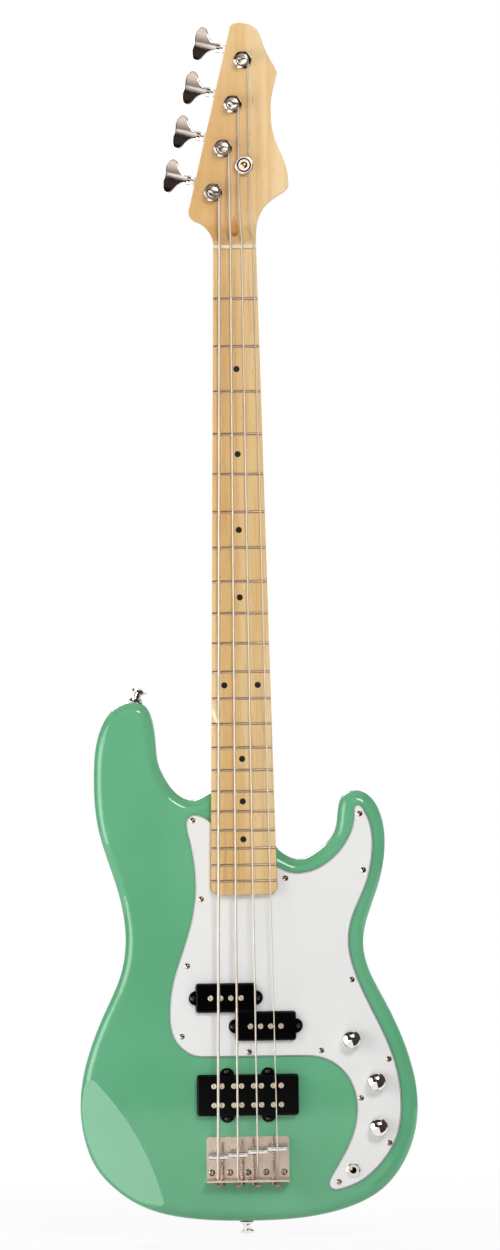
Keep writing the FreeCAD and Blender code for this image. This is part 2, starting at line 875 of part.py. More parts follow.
def tuner_screw_place():
    return (0, gear_pitch_radius + gear_module + housing_gap + housing_wall + housing_ear_radius)


def neck_cutters():
    cutters = fret_slots() + dot_cutters() + truss_cutters() + [plug_cutter(), nut_seat()]
    for index in range(string_count):
        cutters.append(bar(post_place(index), bushing_radius, -overrun, head_back + overrun))
        pilot = bar(tuner_screw_place(), tuner_screw_radius + screw_fit, head_back - tuner_screw_length,
                    head_back + overrun)
        cutters.append(in_tuner_frame(pilot, index))
    cutters.append(bar(on_head(retainer_share), retainer_screw_radius + screw_fit, -overrun,
                       head_front + retainer_screw_length - retainer_lift))
    for place in neck_screw_places():
        cutters.append(bar(place, neck_screw_radius + screw_fit, heel_depth - neck_screw_bite,
                           heel_depth + overrun))
    return cutters


def make_neck():
    board = rod(vec(0, fretboard_radius, heel_z - overrun), vec(0, fretboard_radius, head_length + overrun),
                fretboard_radius)
    return one_solid(neck_shaft().fuse(head_block()).common(board).removeSplitter())


# Tuning machines


def make_post():
    # Built on the post's axis, with the headstock's faces at their own depths.
    top = head_front - post_height
    cap_low = top + post_cap_height
    shoulder = head_front - washer_thickness - hex_height - wrap_base_gap / 2
    gear_front = head_back + gear_start
    gear_back = gear_front + gear_thickness
    rim = top + post_dome_rise
    dome_radius = (post_cap_radius ** 2 + (2 * post_dome_rise) ** 2) / (4 * post_dome_rise)
    ball = Part.makeSphere(dome_radius, vec(0, top - post_dome_rise + dome_radius, 0))
    dome = bar((0, 0), post_cap_radius, top - post_dome_rise, rim).common(ball)
    body = turned([(0, rim), (post_cap_radius, rim), (post_cap_radius, cap_low),
                   (post_waist_radius, cap_low), (post_waist_radius, shoulder),
                   (post_radius, shoulder), (post_radius, gear_front - gear_start / 2),
                   (gear_pitch_radius - 2 * gear_module, gear_front),
                   (gear_pitch_radius - 2 * gear_module, gear_back), (0, gear_back)])
    body = one_solid(body.fuse(dome).removeSplitter())
    body = body.makeFillet(post_edge_round, edges_at_y(body, rim))
    slot = block(-post_cap_radius - overrun, post_cap_radius + overrun, top - overrun,
                 top + post_slot_depth, -post_slot_width / 2, post_slot_width / 2)
    well = bar((0, 0), post_well_radius, top, top + 2 * post_slot_depth)
    return one_solid(body.fuse(gear_ring(gear_front, gear_back)).cut([slot, well]))


def gear_ring(front, back):
    outer = gear_pitch_radius + gear_module
    root = gear_pitch_radius - gear_module - tooth_tip_gap
    ring = bar((0, 0), outer, front, back)
    tooth_turn = 360 / gear_teeth
    gap_half = math.pi * gear_module / 4 + tooth_backlash
    lean = gear_module * math.tan(math.radians(tooth_pressure_angle))
    far = outer + tooth_tip_gap
    profile = [vec(-gap_half + lean, 0, -root), vec(gap_half - lean, 0, -root),
               vec(gap_half + lean, 0, -far), vec(-gap_half - lean, 0, -far)]
    gap = prism(Part.makePolygon(profile + [profile[0]]), front - overrun, back + overrun)
    gaps = []
    for tooth in range(gear_teeth):
        copy = gap.copy()
        copy.rotate(vec(0, 0, 0), back_way, tooth * tooth_turn)
        gaps.append(copy)
    return ring.cut(gaps)


def worm_axis_y():
    return head_back + gear_start + gear_thickness / 2


def make_worm_shaft():
    # Built in the tuner's local frame: the shaft lies along X, beside the gear.
    pitch = math.pi * gear_module
    core = worm_pitch_radius - gear_module - tooth_tip_gap
    tip = worm_pitch_radius + gear_module
    half = math.pi * gear_module / 4 - tooth_backlash
    lean = gear_module * math.tan(math.radians(tooth_pressure_angle))
    turns = math.floor(worm_length / pitch)
    height = turns * pitch
    sunk = core - tooth_tip_gap
    helix = Part.makeHelix(pitch, height, worm_pitch_radius)
    profile = [vec(sunk, 0, -half - lean), vec(tip, 0, -half + lean), vec(tip, 0, half - lean),
               vec(sunk, 0, half + lean)]
    thread = Part.Wire(helix).makePipeShell([Part.makePolygon(profile + [profile[0]])], True, True)
    thread.translate(vec(0, 0, -height / 2))
    # The helix starts on the local +X side, and a crest has to face the gear at mid length.
    inner = -worm_length / 2 - housing_wall
    low = vec(0, 0, inner)
    shaft = Part.makeCylinder(core, worm_length, vec(0, 0, -worm_length / 2))
    worm = shaft.fuse(thread)
    bearing = rod(low, vec(0, 0, -worm_length / 2), core)
    outer = rod(vec(0, 0, worm_length / 2), vec(0, 0, key_reach), worm_shaft_radius)
    whole = one_solid(worm.fuse([bearing, outer]).removeSplitter())
    crest_turn = 360 * (turns / 2 - math.floor(turns / 2))
    whole.rotate(vec(0, 0, 0), vec(0, 0, 1), -crest_turn)
    whole.rotate(vec(0, 0, 0), back_way, 90)
    # Local X of the sweep now points down -Z; turn it to face the gear on the +Z side.
    whole.rotate(vec(0, 0, 0), vec(1, 0, 0), 180)
    whole.translate(vec(0, worm_axis_y(), -worm_distance))
    return whole


def make_key():
    # The fish-tailed key in the headstock's plane, crowned front and back, on the outer end of its shaft.
    upper = [vec(key_reach + key_collar_length + share[0] * key_length, 0, share[1] * key_width)
             for share in key_shares]
    lower = [vec(point.x, 0, -point.z) for point in reversed(upper)]
    waist = vec(key_reach + key_collar_length + key_waist_share * key_length, 0, 0)
    outer = curve_through(upper + [waist] + lower)
    wire = Part.Wire([outer, Part.makeLine(lower[-1], upper[0])])
    plate = prism(wire, -key_thickness / 2, key_thickness / 2)
    crown_radius = ((key_width / 2) ** 2 + key_crown ** 2) / (2 * key_crown)
    for side in (-1, 1):
        middle = side * (crown_radius - key_thickness / 2)
        plate = plate.common(rod(vec(0, middle, 0), vec(2 * key_reach + key_length, middle, 0), crown_radius))
    plate = plate.makeFillet(key_edge_round, [edge for edge in plate.Edges if edge.Length > key_width])
    collar = rod(vec(key_reach, 0, 0), vec(key_reach + key_collar_length + key_edge_round, 0, 0),
                 key_collar_radius)
    key = one_solid(plate.fuse(collar))
    key.translate(vec(0, worm_axis_y(), -worm_distance))
    return key


def make_housing():
    outer_radius = gear_pitch_radius + gear_module + housing_gap
    depth = gear_start + gear_thickness + housing_gap
    worm_room = worm_pitch_radius + gear_module + housing_gap
    deep = worm_axis_y() + worm_room - head_back
    left = -max(outer_radius, worm_length / 2 + housing_gap) - housing_wall
    right = -left
    low = -worm_distance - worm_room - housing_wall
    high = outer_radius + housing_wall
    back = head_back + max(depth, deep) + housing_wall
    case = block(left, right, head_back, back, low, high)
    case = case.makeFillet(housing_edge_round, [edge for edge in case.Edges
                                                if edge.BoundBox.YMax > head_back + housing_gap])
    snout = rod(vec(0, worm_axis_y(), -worm_distance),
                vec(housing_snout_reach, worm_axis_y(), -worm_distance), housing_snout_radius)
    snout = snout.common(block(0, 2 * housing_snout_reach, head_back, 2 * back, 2 * low, 0))
    ear_place = tuner_screw_place()
    ear = bar(ear_place, housing_ear_radius, head_back, head_back + housing_ear_thickness)
    web = block(-housing_ear_radius, housing_ear_radius, head_back, head_back + housing_ear_thickness,
                0, ear_place[1])
    case = case.fuse([snout, ear, web])
    gear_room = bar((0, 0), outer_radius, head_back - overrun, head_back + depth)
    half = worm_length / 2 + housing_gap
    worm_cut = rod(vec(-half, worm_axis_y(), -worm_distance), vec(half, worm_axis_y(), -worm_distance),
                   worm_room)
    throat = block(-half, half, head_back - overrun, worm_axis_y(), -worm_distance - worm_room,
                   -worm_distance + worm_room)
    core = worm_pitch_radius - gear_module - tooth_tip_gap
    blind = rod(vec(-worm_length / 2 - housing_wall - worm_running_clearance, worm_axis_y(), -worm_distance),
                vec(0, worm_axis_y(), -worm_distance), core + worm_running_clearance)
    shaft_hole = rod(vec(0, worm_axis_y(), -worm_distance),
                     vec(housing_snout_reach + overrun, worm_axis_y(), -worm_distance),
                     worm_shaft_radius + worm_running_clearance)
    screw_hole = bar(ear_place, tuner_screw_radius + screw_fit, head_back - overrun, back)
    return one_solid(case.cut([gear_room, worm_cut, throat, blind, shaft_hole, screw_hole]))


def make_tuner_nuts():
    nuts = []
    for index in range(string_count):
        place = post_place(index)
        hole = bar(place, post_radius + post_running_clearance, -2 * head_back, 2 * head_back)
        face = head_front - washer_thickness
        head = hex_nut(place, hex_across_flats, hex_face_share, face - hex_height, face)
        sleeve = bar(place, bushing_radius, face - hex_height / 2, face + bushing_reach)
        nuts.append(one_solid(head.fuse(sleeve).removeSplitter().cut(hole)))
        washer = bar(place, washer_radius, face, head_front)
        washer = washer.makeFillet(washer_edge_round, edges_at_y(washer, face))
        nuts.append(washer.cut(bar(place, bushing_radius, -overrun, head_back)))
    return nuts


def make_tuner_screws():
    screw = wood_screw(tuner_screw_head, tuner_screw_radius, tuner_screw_length)
    place = plan(tuner_screw_place(), head_back + housing_ear_thickness)
    return [in_tuner_frame(placed(screw, place, front_way), index) for index in range(string_count)]


def make_retainer():
    place = on_head(retainer_share)
    under = head_front - retainer_lift
    disc = bar(place, retainer_radius, under - retainer_thickness, under)
    rim = edges_at_y(disc, under - retainer_thickness)
    disc = disc.makeFillet(retainer_thickness / 2, rim)
    groove = Part.makeTorus(retainer_radius * retainer_groove_share, retainer_groove_radius,
                            plan(place, under - retainer_thickness), back_way)
    hub = bar(place, retainer_hub_radius, under, head_front)
    hole = bar(place, retainer_screw_radius + screw_fit, -overrun, head_front + overrun)
    button = one_solid(disc.fuse(hub).removeSplitter().cut([hole, groove]))
    screw = wood_screw(retainer_screw_head, retainer_screw_radius, retainer_screw_length)
    return [button, placed(screw, plan(place, under - retainer_thickness), back_way)]


# Strings


def saddle_centre(index):
    x = bridge_x(index)
    top = -bridge_action + crown_drop(x) - saddle_groove_depth
    return vec(x, top + saddle_radius, bridge_z - saddle_setbacks[index])


def saddle_wrap_radius(index):
    return saddle_radius - saddle_groove_depth + string_radius(index) + groove_clearance


def string_hole(index):
    centre = saddle_centre(index)
    return vec(centre.x, centre.y + string_hole_drop, lip_outer_z + string_end_gap)


def nut_point(index):
    x = nut_x(index)
    return vec(x, crown_drop(x) - nut_action - string_radius(index) - groove_clearance, nut_thickness / 2)


def saddle_corner(index):
    # Where the two straight runs that touch the saddle from each side would cross, above it.
    centre = saddle_centre(index)
    radius = saddle_wrap_radius(index)

    def touch(point, side):
        reach = math.hypot(point.z - centre.z, point.y - centre.y)
        turn = math.atan2(point.y - centre.y, point.z - centre.z) - side * math.acos(radius / reach)
        return turn

    ahead = touch(nut_point(index), 1)
    behind = touch(string_hole(index), -1)
    middle = (ahead + behind) / 2
    reach = radius / math.cos((ahead - behind) / 2)
    return vec(centre.x, centre.y + reach * math.sin(middle), centre.z + reach * math.cos(middle))


def retainer_point(index):
    x, z = on_head(retainer_share)
    side = -1 if string_names[index] == "d" else 1
    y = head_front - retainer_lift + string_radius(index) + groove_clearance
    aside = retainer_string_spread / 2
    rim = math.sqrt(retainer_radius ** 2 - aside ** 2)
    return vec(x + side * aside, y, z - rim - retainer_bend_reach)


def wrap_pitch(index):
    return string_diameters[index] + wrap_loop_gap


def wrap_radius(index):
    return post_waist_radius + wrap_clearance + string_radius(index)


def string_head_points(index):
    points = [nut_point(index)]
    if string_names[index] in ("d", "g"):
        points.append(retainer_point(index))
    return points


def string_wrap(index):
    x, z = post_place(index)
    before = string_head_points(index)[-1]
    radius = wrap_radius(index)
    reach = math.hypot(before.x - x, before.z - z)
    start = math.atan2(before.z - z, before.x - x) + math.acos(radius / reach)
    y = head_front - washer_thickness - hex_height - wrap_base_gap - string_radius(index)
    across = vec(math.cos(start), 0, math.sin(start))
    up = vec(-math.sin(start), 0, math.cos(start))
    return coil_edges(vec(x, y, z), across, up, radius, wrap_pitch(index), wrap_turns[index],
                      wrap_steps_per_turn)


def make_string(index):
    radius = string_radius(index)
    coil, start, start_way, end, end_way = string_wrap(index)
    tail_end = end + end_way * (2 * radius)
    lead = start - start_way * wrap_lead
    head = string_head_points(index)
    points = [string_hole(index), saddle_corner(index)] + head + [lead, start]
    radii = [saddle_wrap_radius(index), nut_bend_radius]
    if len(head) > 1:
        radii.append(retainer_bend_radius)
    radii.append(wrap_lead_bend_radius)
    edges = rounded_path(points, radii) + coil + [Part.makeLine(end, tail_end)]
    gap = least_self_gap(coil, radius, math.pi * wrap_radius(index))
    print("string", string_names[index], "winding gap", round(gap, 2))
    return tube(edges, radius)


def nut_groove(index):
    centre = nut_point(index)
    back = (saddle_corner(index) - centre).normalize()
    after = (string_head_points(index) + [string_wrap(index)[1]])[1]
    ahead = (after - centre).normalize()
    reach = 2 * nut_thickness
    edges = rounded_path([centre + back * reach, centre, centre + ahead * reach], [nut_bend_radius])
    return tube(edges, string_radius(index) + groove_clearance)


def make_ball_ends():
    balls = []
    for index in range(string_count):
        hole = string_hole(index)
        side = vec(ball_length / 2, 0, 0)
        centre = vec(hole.x, hole.y, lip_outer_z - ball_radius)
        balls.append(rod(centre - side, centre + side, ball_radius))
    return balls


# Bridge


def intonation_x(index):
    inward = 1 if index < string_middle else -1
    return bridge_x(index) + inward * intonation_screw_offset


def bridge_screw_places():
    z = lip_outer_z + bridge_screw_inset
    middle = (bridge_screw_count - 1) / 2
    return [((step - middle) * bridge_screw_pitch, z) for step in range(bridge_screw_count)]


def make_bridge_plate():
    half = bridge_width / 2
    lip_top = min(saddle_centre(i).y for i in range(string_count)) - bridge_lip_rise
    front_z = bridge_z + bridge_front_reach
    base = block(-half, half, bridge_top, body_front, lip_outer_z, front_z)
    corners = [edge for edge in edges_at_z(base, front_z) if edge.BoundBox.XLength < touch_tolerance]
    base = base.makeFillet(bridge_corner_round, corners)
    lip = block(-half, half, lip_top, body_front, lip_outer_z, lip_inner_z)
    shape = base.fuse(lip).removeSplitter()
    bend = [edge for edge in edges_at_y(shape, body_front)
            if abs(edge.BoundBox.ZMax - lip_outer_z) < touch_tolerance]
    shape = shape.makeFillet(bridge_lip_thickness / 2, bend)
    crest = [edge for edge in edges_at_y(shape, lip_top) if edge.Length > bridge_lip_thickness + touch_tolerance]
    shape = shape.makeFillet(bridge_lip_round, crest)
    holes = []
    for index in range(string_count):
        centre = saddle_centre(index)
        screw = vec(intonation_x(index), centre.y, lip_outer_z - overrun)
        holes.append(rod(screw, vec(screw.x, screw.y, lip_inner_z + overrun),
                         intonation_screw_radius + intonation_thread_gap))
        hole = string_hole(index)
        holes.append(rod(vec(hole.x, hole.y, lip_outer_z - overrun),
                         vec(hole.x, hole.y, lip_inner_z + overrun), string_radius(index) + string_hole_gap))
    for place in bridge_screw_places():
        holes.append(bar(place, bridge_screw_radius + screw_fit, -overrun, body_back))
    return one_solid(shape.cut(holes))


def make_bridge_screws():
    screw = wood_screw(bridge_screw_head, bridge_screw_radius, bridge_screw_length)
    return [placed(screw, plan(place, bridge_top), back_way) for place in bridge_screw_places()]


def make_saddle(index):
    centre = saddle_centre(index)
    half = vec(saddle_length / 2, 0, 0)
    barrel = rod(centre - half, centre + half, saddle_radius)
    screw_x = intonation_x(index)
    hole = rod(vec(screw_x, centre.y, centre.z - 2 * saddle_radius),
               vec(screw_x, centre.y, centre.z + 2 * saddle_radius),
               intonation_screw_radius + intonation_thread_gap)
    ring = Part.makeTorus(saddle_wrap_radius(index), string_radius(index) + groove_clearance, centre,
                          vec(1, 0, 0))
    cuts = [hole, ring]
    screws = []
    for side in (-1, 1):
        x = centre.x + side * saddle_screw_spread / 2
        top = centre.y - saddle_radius + saddle_groove_depth
        cuts.append(bar((x, centre.z), saddle_screw_radius, -2 * body_front, 2 * body_front))
        screw = bar((x, centre.z), saddle_screw_radius, top, bridge_top - saddle_foot_gap)
        socket = hex_bar((x, centre.z), saddle_screw_radius, top - overrun, top + saddle_screw_radius)
        screws.append(screw.cut(socket))
    return [barrel.cut(cuts)] + screws


def make_intonation_screw(index):
    centre = saddle_centre(index)
    x = intonation_x(index)
    tip_z = centre.z + saddle_radius + saddle_travel + intonation_screw_overreach
    seat = vec(x, centre.y, lip_outer_z)
    shank = rod(seat, vec(x, centre.y, tip_z), intonation_screw_radius)
    head = rod(vec(x, centre.y, lip_outer_z - intonation_head_length), seat, intonation_head_radius)
    half = intonation_head_radius * slot_width_share / 2
    floor = lip_outer_z - intonation_head_length / 2
    slots = [block(x - half, x + half, centre.y - overrun, centre.y + overrun, lip_outer_z - overrun, floor),
             block(x - overrun, x + overrun, centre.y - half, centre.y + half, lip_outer_z - overrun, floor)]
    return one_solid(shank.fuse(head).removeSplitter().cut(slots))


def make_spring(index):
    centre = saddle_centre(index)
    low = lip_inner_z + spring_end_gap + spring_wire
    high = centre.z - saddle_radius - spring_end_gap - spring_wire
    turns = round((high - low) / spring_pitch * 2) / 2
    pitch = (high - low) / turns
    start = vec(intonation_x(index), centre.y, low)
    coil, first, first_way, last, last_way = coil_edges(
        start, vec(1, 0, 0), vec(0, 1, 0), spring_mean_radius, pitch, turns,
        spring_steps_per_turn)
    edges = [Part.makeLine(first - first_way * spring_wire, first)] + coil
    edges.append(Part.makeLine(last, last + last_way * spring_wire))
    gap = least_self_gap(coil, spring_wire / 2, math.pi * spring_mean_radius)
    print("spring", string_names[index], "turns", turns, "gap", round(gap, 2))
    return tube(edges, spring_wire / 2)


# Body


def trough(share, y, heading, angle, radius, way):
    # A wide cylinder that dips into a face along a heading: way is the face's outward direction.
    place = plan(on_body(share), y)
    turn = math.radians(heading)
    dip = math.radians(angle)
    along = vec(-math.cos(turn) * math.cos(dip), -way.y * math.sin(dip), -math.sin(turn) * math.cos(dip))
    across = along.cross(way).normalize()
    lift = across.cross(along).normalize()
    reach = body_length
    start = place + lift * radius - along * reach
    return Part.makeCylinder(radius, 2 * reach, start, along)


def rounded_body():
    outline = closed_curve([plan(on_body(share)) for share in body_shares])
    edge_round = min(body_edge_round, least_outward_radius(outline) * edge_round_share)
    slab = prism(outline, body_front, body_back)
    slab = slab.makeFillet(edge_round, edges_at_y(slab, body_front) + edges_at_y(slab, body_back))
    front_trough = trough(forearm_share, body_front, forearm_heading, forearm_angle, forearm_trough_radius,
                          front_way)
    back_trough = trough(belly_share, body_back, belly_heading, belly_angle, belly_trough_radius, back_way)
    contoured = slab.cut([front_trough, back_trough]).Solids[0]
    rims = rim_edges(contoured, forearm_trough_radius, body_front)
    rims += rim_edges(contoured, belly_trough_radius, body_back)
    return contoured.makeFillet(contour_rim_round, rims)


def split_pickup_places():
    z = -scale_length * split_pickup_share
    step = split_pickup_depth + split_pickup_gap
    return [(-split_pickup_step / 2, z + step / 2), (split_pickup_step / 2, z - step / 2)]


def bridge_pickup_place():
    return (bridge_pickup_shift, -scale_length * bridge_pickup_share)


def split_shape(place, grow, front, back, ear_front, ear_back):
    x, z = place
    shape = rounded_block(place, split_pickup_width + 2 * grow, split_pickup_depth + 2 * grow, cover_corner,
                          front, back)
    ears = [bar((x + side * split_pickup_width / 2, z), ear_radius + grow, ear_front, ear_back)
            for side in (-1, 1)]
    return shape, ears


def bridge_pickup_ears(grow, front, back):
    x, z = bridge_pickup_place()
    return [bar((x + side * bridge_ear_spread / 2, z + row * bridge_pickup_depth / 2), ear_radius + grow,
                front, back) for side in (-1, 1) for row in (-1, 1)]


def pickup_cutters(front, back, grow):
    cutters = []
    for place in split_pickup_places():
        shape, ears = split_shape(place, grow, front, back, front, back)
        cutters += [shape] + ears
    return cutters


def bridge_pickup_cutters(front, back):
    shape = rounded_block(bridge_pickup_place(), bridge_pickup_width + 2 * rout_gap,
                          bridge_pickup_depth + 2 * rout_gap, cover_corner, front, back)
    return [shape] + bridge_pickup_ears(rout_gap, front, back)


def link(first, second, width, front, back):
    start = plan(first)
    end = plan(second)
    along = (end - start).normalize()
    side = along.cross(back_way) * (width / 2)
    points = [start + side, end + side, end - side, start - side, start + side]
    return prism(Part.makePolygon(points), front, back)


def cavity_cutters():
    front = body_front - overrun
    back = body_back - cavity_floor
    places = [on_body(share) for share in control_shares]
    jack = on_body(jack_share)
    cutters = [bar(place, cavity_radius, front, back) for place in places]
    cutters.append(bar(jack, cavity_jack_radius, front, back))
    cutters += [link(a, b, cavity_link_width, front, back) for a, b in zip(places, places[1:])]
    cutters.append(link(places[-1], jack, 2 * cavity_jack_radius, front, back))
    right_half = split_pickup_places()[1]
    cutters.append(link(right_half, places[0], channel_width, front, body_front + channel_depth))
    return cutters


def bridge_wire_start():
    return (bridge_x(string_count - 1), bridge_z - saddle_radius)


def wire_hole_cutters():
    level = body_front + wire_drop + rout_depth / 2
    pickup = bridge_pickup_place()
    pot = on_body(control_shares[1])
    jack = on_body(jack_share)
    start = bridge_wire_start()
    return [rod(plan(pickup, level), plan((pot[0], pickup[1]), level), wire_hole_radius),
            rod(plan(start, body_front - overrun), plan(start, level), wire_hole_radius),
            rod(plan(start, level), plan(jack, level), wire_hole_radius)]


def pocket_cutter():
    top_z = heel_top_z + heel_blend_length
    points = []
    for z in (heel_z - pocket_clearance, top_z):
        half = neck_width(z) / 2 + pocket_clearance
        points.append((vec(-half, 0, z), vec(half, 0, z)))
    outline = [points[0][0], points[0][1], points[1][1], points[1][0], points[0][0]]
    shape = prism(Part.makePolygon(outline), body_front - overrun, heel_depth)
    return shape.makeFillet(heel_corner_radius, edges_at_z(shape, points[0][0].z))


def neck_plate_place():
    return (0, heel_z + plate_inset + plate_length / 2)


def neck_screw_places():
    x, z = neck_plate_place()
    wide = plate_width / 2 - plate_screw_inset
    tall = plate_length / 2 - plate_screw_inset
    return [(x + side * wide, z + row * tall) for side in (-1, 1) for row in (-1, 1)]


def button_spots():
    tilt = math.radians(upper_button_tilt)
    y = (body_front + body_back) / 2
    return [(plan(on_body(upper_button_share), y), vec(math.sin(tilt), 0, math.cos(tilt))),
            (plan(on_body(lower_button_share), y), vec(0, 0, -1))]


def screw_pilots():
    pilots = [bar(on_body(share), guard_screw_radius + screw_fit, guard_front,
                  guard_front + guard_screw_length) for share in guard_screw_shares]
    pilots += [bar(place, bridge_screw_radius + screw_fit, bridge_top, bridge_top + bridge_screw_length)
               for place in bridge_screw_places()]
    pilots += [bar(place, neck_screw_radius + screw_fit, body_front, body_back + overrun)
               for place in neck_screw_places()]
    for place, seat in pickup_screw_places():
        pilots.append(bar(place, pickup_screw_radius + screw_fit, seat, seat + pickup_screw_length))
    for spot, way in button_spots():
        pilots.append(rod(spot + way * button_height, spot - way * strap_screw_length,
                          strap_screw_radius + screw_fit))
    return pilots


def make_body():
    floor = body_front + rout_depth
    cutters = [pocket_cutter()]
    cutters += pickup_cutters(body_front - overrun, floor, rout_gap)
    cutters += bridge_pickup_cutters(body_front - overrun, floor)
    cutters += cavity_cutters() + wire_hole_cutters() + screw_pilots()
    return one_solid(rounded_body().cut(cutters))


def make_neck_plate():
    plate = rounded_block(neck_plate_place(), plate_width, plate_length, plate_corner, body_back,
                          body_back + plate_thickness)
    return plate.cut([bar(place, neck_screw_radius + screw_fit, 0, 2 * body_back)
                      for place in neck_screw_places()])


def make_neck_screws():
    length = body_back + plate_thickness - heel_depth + neck_screw_bite
    screw = wood_screw(neck_screw_head, neck_screw_radius, length)
    seat = body_back + plate_thickness
    return [placed(screw, plan(place, seat), front_way) for place in neck_screw_places()]


# Pickguard


def make_pickguard():
    guard = prism(closed_curve([plan(on_body(share)) for share in guard_shares]), guard_front, body_front)
    guard = guard.makeChamfer(guard_edge_bevel, edges_at_y(guard, guard_front))
    z = heel_z - guard_neck_gap
    wide = neck_heel_width / 2 + guard_neck_gap
    top = neck_width(heel_top_z) / 2 + guard_neck_gap
    points = [vec(-wide, 0, z), vec(wide, 0, z), vec(top, 0, heel_top_z), vec(-top, 0, heel_top_z),
              vec(-wide, 0, z)]
    neck_gap = prism(Part.makePolygon(points), guard_front - overrun, body_front + overrun)
    cutters = [neck_gap.makeFillet(heel_corner_radius, edges_at_z(neck_gap, z))]
    cutters += pickup_cutters(guard_front - overrun, body_front + overrun, rout_gap)
    for share in control_shares:
        cutters.append(bar(on_body(share), pot_bushing_radius + pot_hole_gap, 0, 2 * body_front))
    cutters.append(bar(on_body(jack_share), jack_tube_radius + pot_hole_gap, 0, 2 * body_front))
    for share in guard_screw_shares:
        cutters.append(bar(on_body(share), guard_screw_radius + screw_fit, 0, 2 * body_front))
    return one_solid(guard.cut(cutters))


def make_guard_screws():
    screw = wood_screw(guard_screw_head, guard_screw_radius, guard_screw_length)
    return [placed(screw, plan(on_body(share), guard_front), back_way) for share in guard_screw_shares]


# Pickups


def pole_places(cover):
    if cover == "bridge":
        x, z = bridge_pickup_place()
        return [(x + bridge_x(i) + side * pole_pair_pitch / 2, z + row * pole_row_spread / 2)
                for i in range(string_count) for side in (-1, 1) for row in (-1, 1)]
    x, z = split_pickup_places()[cover]
    return [(x + (step - string_middle) * pole_pitch, z) for step in range(string_count)]


def pickup_levels(rise, seat):
    top = seat - rise
    return top, top + cover_height


def hollow_cover(shape, ears, inner, poles, front):
    holes = [bar(place, pole_radius + pole_fit, front - overrun, front + pole_length) for place in poles]
    return one_solid(shape.fuse(ears).removeSplitter().cut([inner] + holes))


def ear_level(top):
    return top + ear_drop


def make_split_covers():
    top, low = pickup_levels(cover_rise, guard_front)
    ear_top = ear_level(top)
    covers = []
    for number, place in enumerate(split_pickup_places()):
        shape, ears = split_shape(place, 0, top, low, ear_top, ear_top + ear_thickness)
        shape = shape.makeFillet(cover_edge_round, edges_at_y(shape, top))
        inner = rounded_block(place, split_pickup_width - 2 * cover_wall, split_pickup_depth - 2 * cover_wall,
                              cover_wall, top + cover_wall, low + overrun)
        holes = [bar(spot, pickup_screw_radius + screw_fit, top - overrun, low + overrun)
                 for spot in split_screw_spots(place)]
        covers.append(one_solid(hollow_cover(shape, ears, inner, pole_places(number), top).cut(holes)))
    return covers


def split_screw_spots(place):
    out = split_pickup_width / 2 + ear_radius / 2
    return [(place[0] - out, place[1]), (place[0] + out, place[1])]


def bridge_screw_spots():
    x, z = bridge_pickup_place()
    out = bridge_pickup_depth / 2 + ear_radius / 2
    return [(x + side * bridge_ear_spread / 2, z + row * out) for side in (-1, 1) for row in (-1, 1)]


def make_bridge_cover():
    top, low = pickup_levels(bridge_cover_rise, body_front)
    place = bridge_pickup_place()
    shape = rounded_block(place, bridge_pickup_width, bridge_pickup_depth, cover_corner, top, low)
    shape = shape.makeFillet(cover_edge_round, edges_at_y(shape, top))
    ear_top = body_front - ear_drop
    ears = bridge_pickup_ears(0, ear_top, ear_top + ear_thickness)
    inner = rounded_block(place, bridge_pickup_width - 2 * cover_wall, bridge_pickup_depth - 2 * cover_wall,
                          cover_wall, top + cover_wall, low + overrun)
    cover = hollow_cover(shape, ears, inner, pole_places("bridge"), top)
    return one_solid(cover.cut([bar(spot, pickup_screw_radius + screw_fit, top - overrun, low + overrun)
                                for spot in bridge_screw_spots()]))


def pickup_screw_places():
    top = pickup_levels(cover_rise, guard_front)[0]
    places = []
    for place in split_pickup_places():
        places += [(spot, ear_level(top)) for spot in split_screw_spots(place)]
    return places + [(spot, body_front - ear_drop) for spot in bridge_screw_spots()]


def make_pickup_screws():
    screw = wood_screw(pickup_screw_head, pickup_screw_radius, pickup_screw_length)
    return [placed(screw, plan(place, seat), back_way) for place, seat in pickup_screw_places()]


def make_poles():
    split_top = pickup_levels(cover_rise, guard_front)[0]
    bridge_top_y = pickup_levels(bridge_cover_rise, body_front)[0]
    spots = [(place, split_top) for half in (0, 1) for place in pole_places(half)]
    spots += [(place, bridge_top_y) for place in pole_places("bridge")]
    poles = []
    for place, top in spots:
        front = top - pole_rise
        pole = bar(place, pole_radius, front, top + pole_length)
        pole = pole.makeFillet(pole_edge_round, edges_at_y(pole, front))
        dimple = Part.makeCone(pole_dimple_radius, pole_dimple_floor, pole_dimple_depth, plan(place, front),
                               back_way)
        poles.append(pole.cut(dimple))
    return poles


def make_coils():
    coils = []
    split_top = pickup_levels(cover_rise, guard_front)[0] + cover_wall
    trim = 2 * (cover_wall + coil_gap)
    for number, place in enumerate(split_pickup_places()):
        coil = rounded_block(place, split_pickup_width - trim, split_pickup_depth - trim, cover_corner,
                             split_top, split_top + coil_height)
        coils.append(coil.cut([bar(spot, pole_radius + pole_fit, 0, body_back)
                               for spot in pole_places(number)]))
    x, z = bridge_pickup_place()
    top = pickup_levels(bridge_cover_rise, body_front)[0] + cover_wall
    deep = (bridge_pickup_depth - trim - coil_gap) / 2
    spots = pole_places("bridge")
    for row in (-1, 1):
        place = (x, z + row * (deep + coil_gap) / 2)
        coil = rounded_block(place, bridge_pickup_width - trim, deep, cover_corner, top, top + coil_height)
        coils.append(coil.cut([bar(spot, pole_radius + pole_fit, -body_back, body_back) for spot in spots]))
    return coils


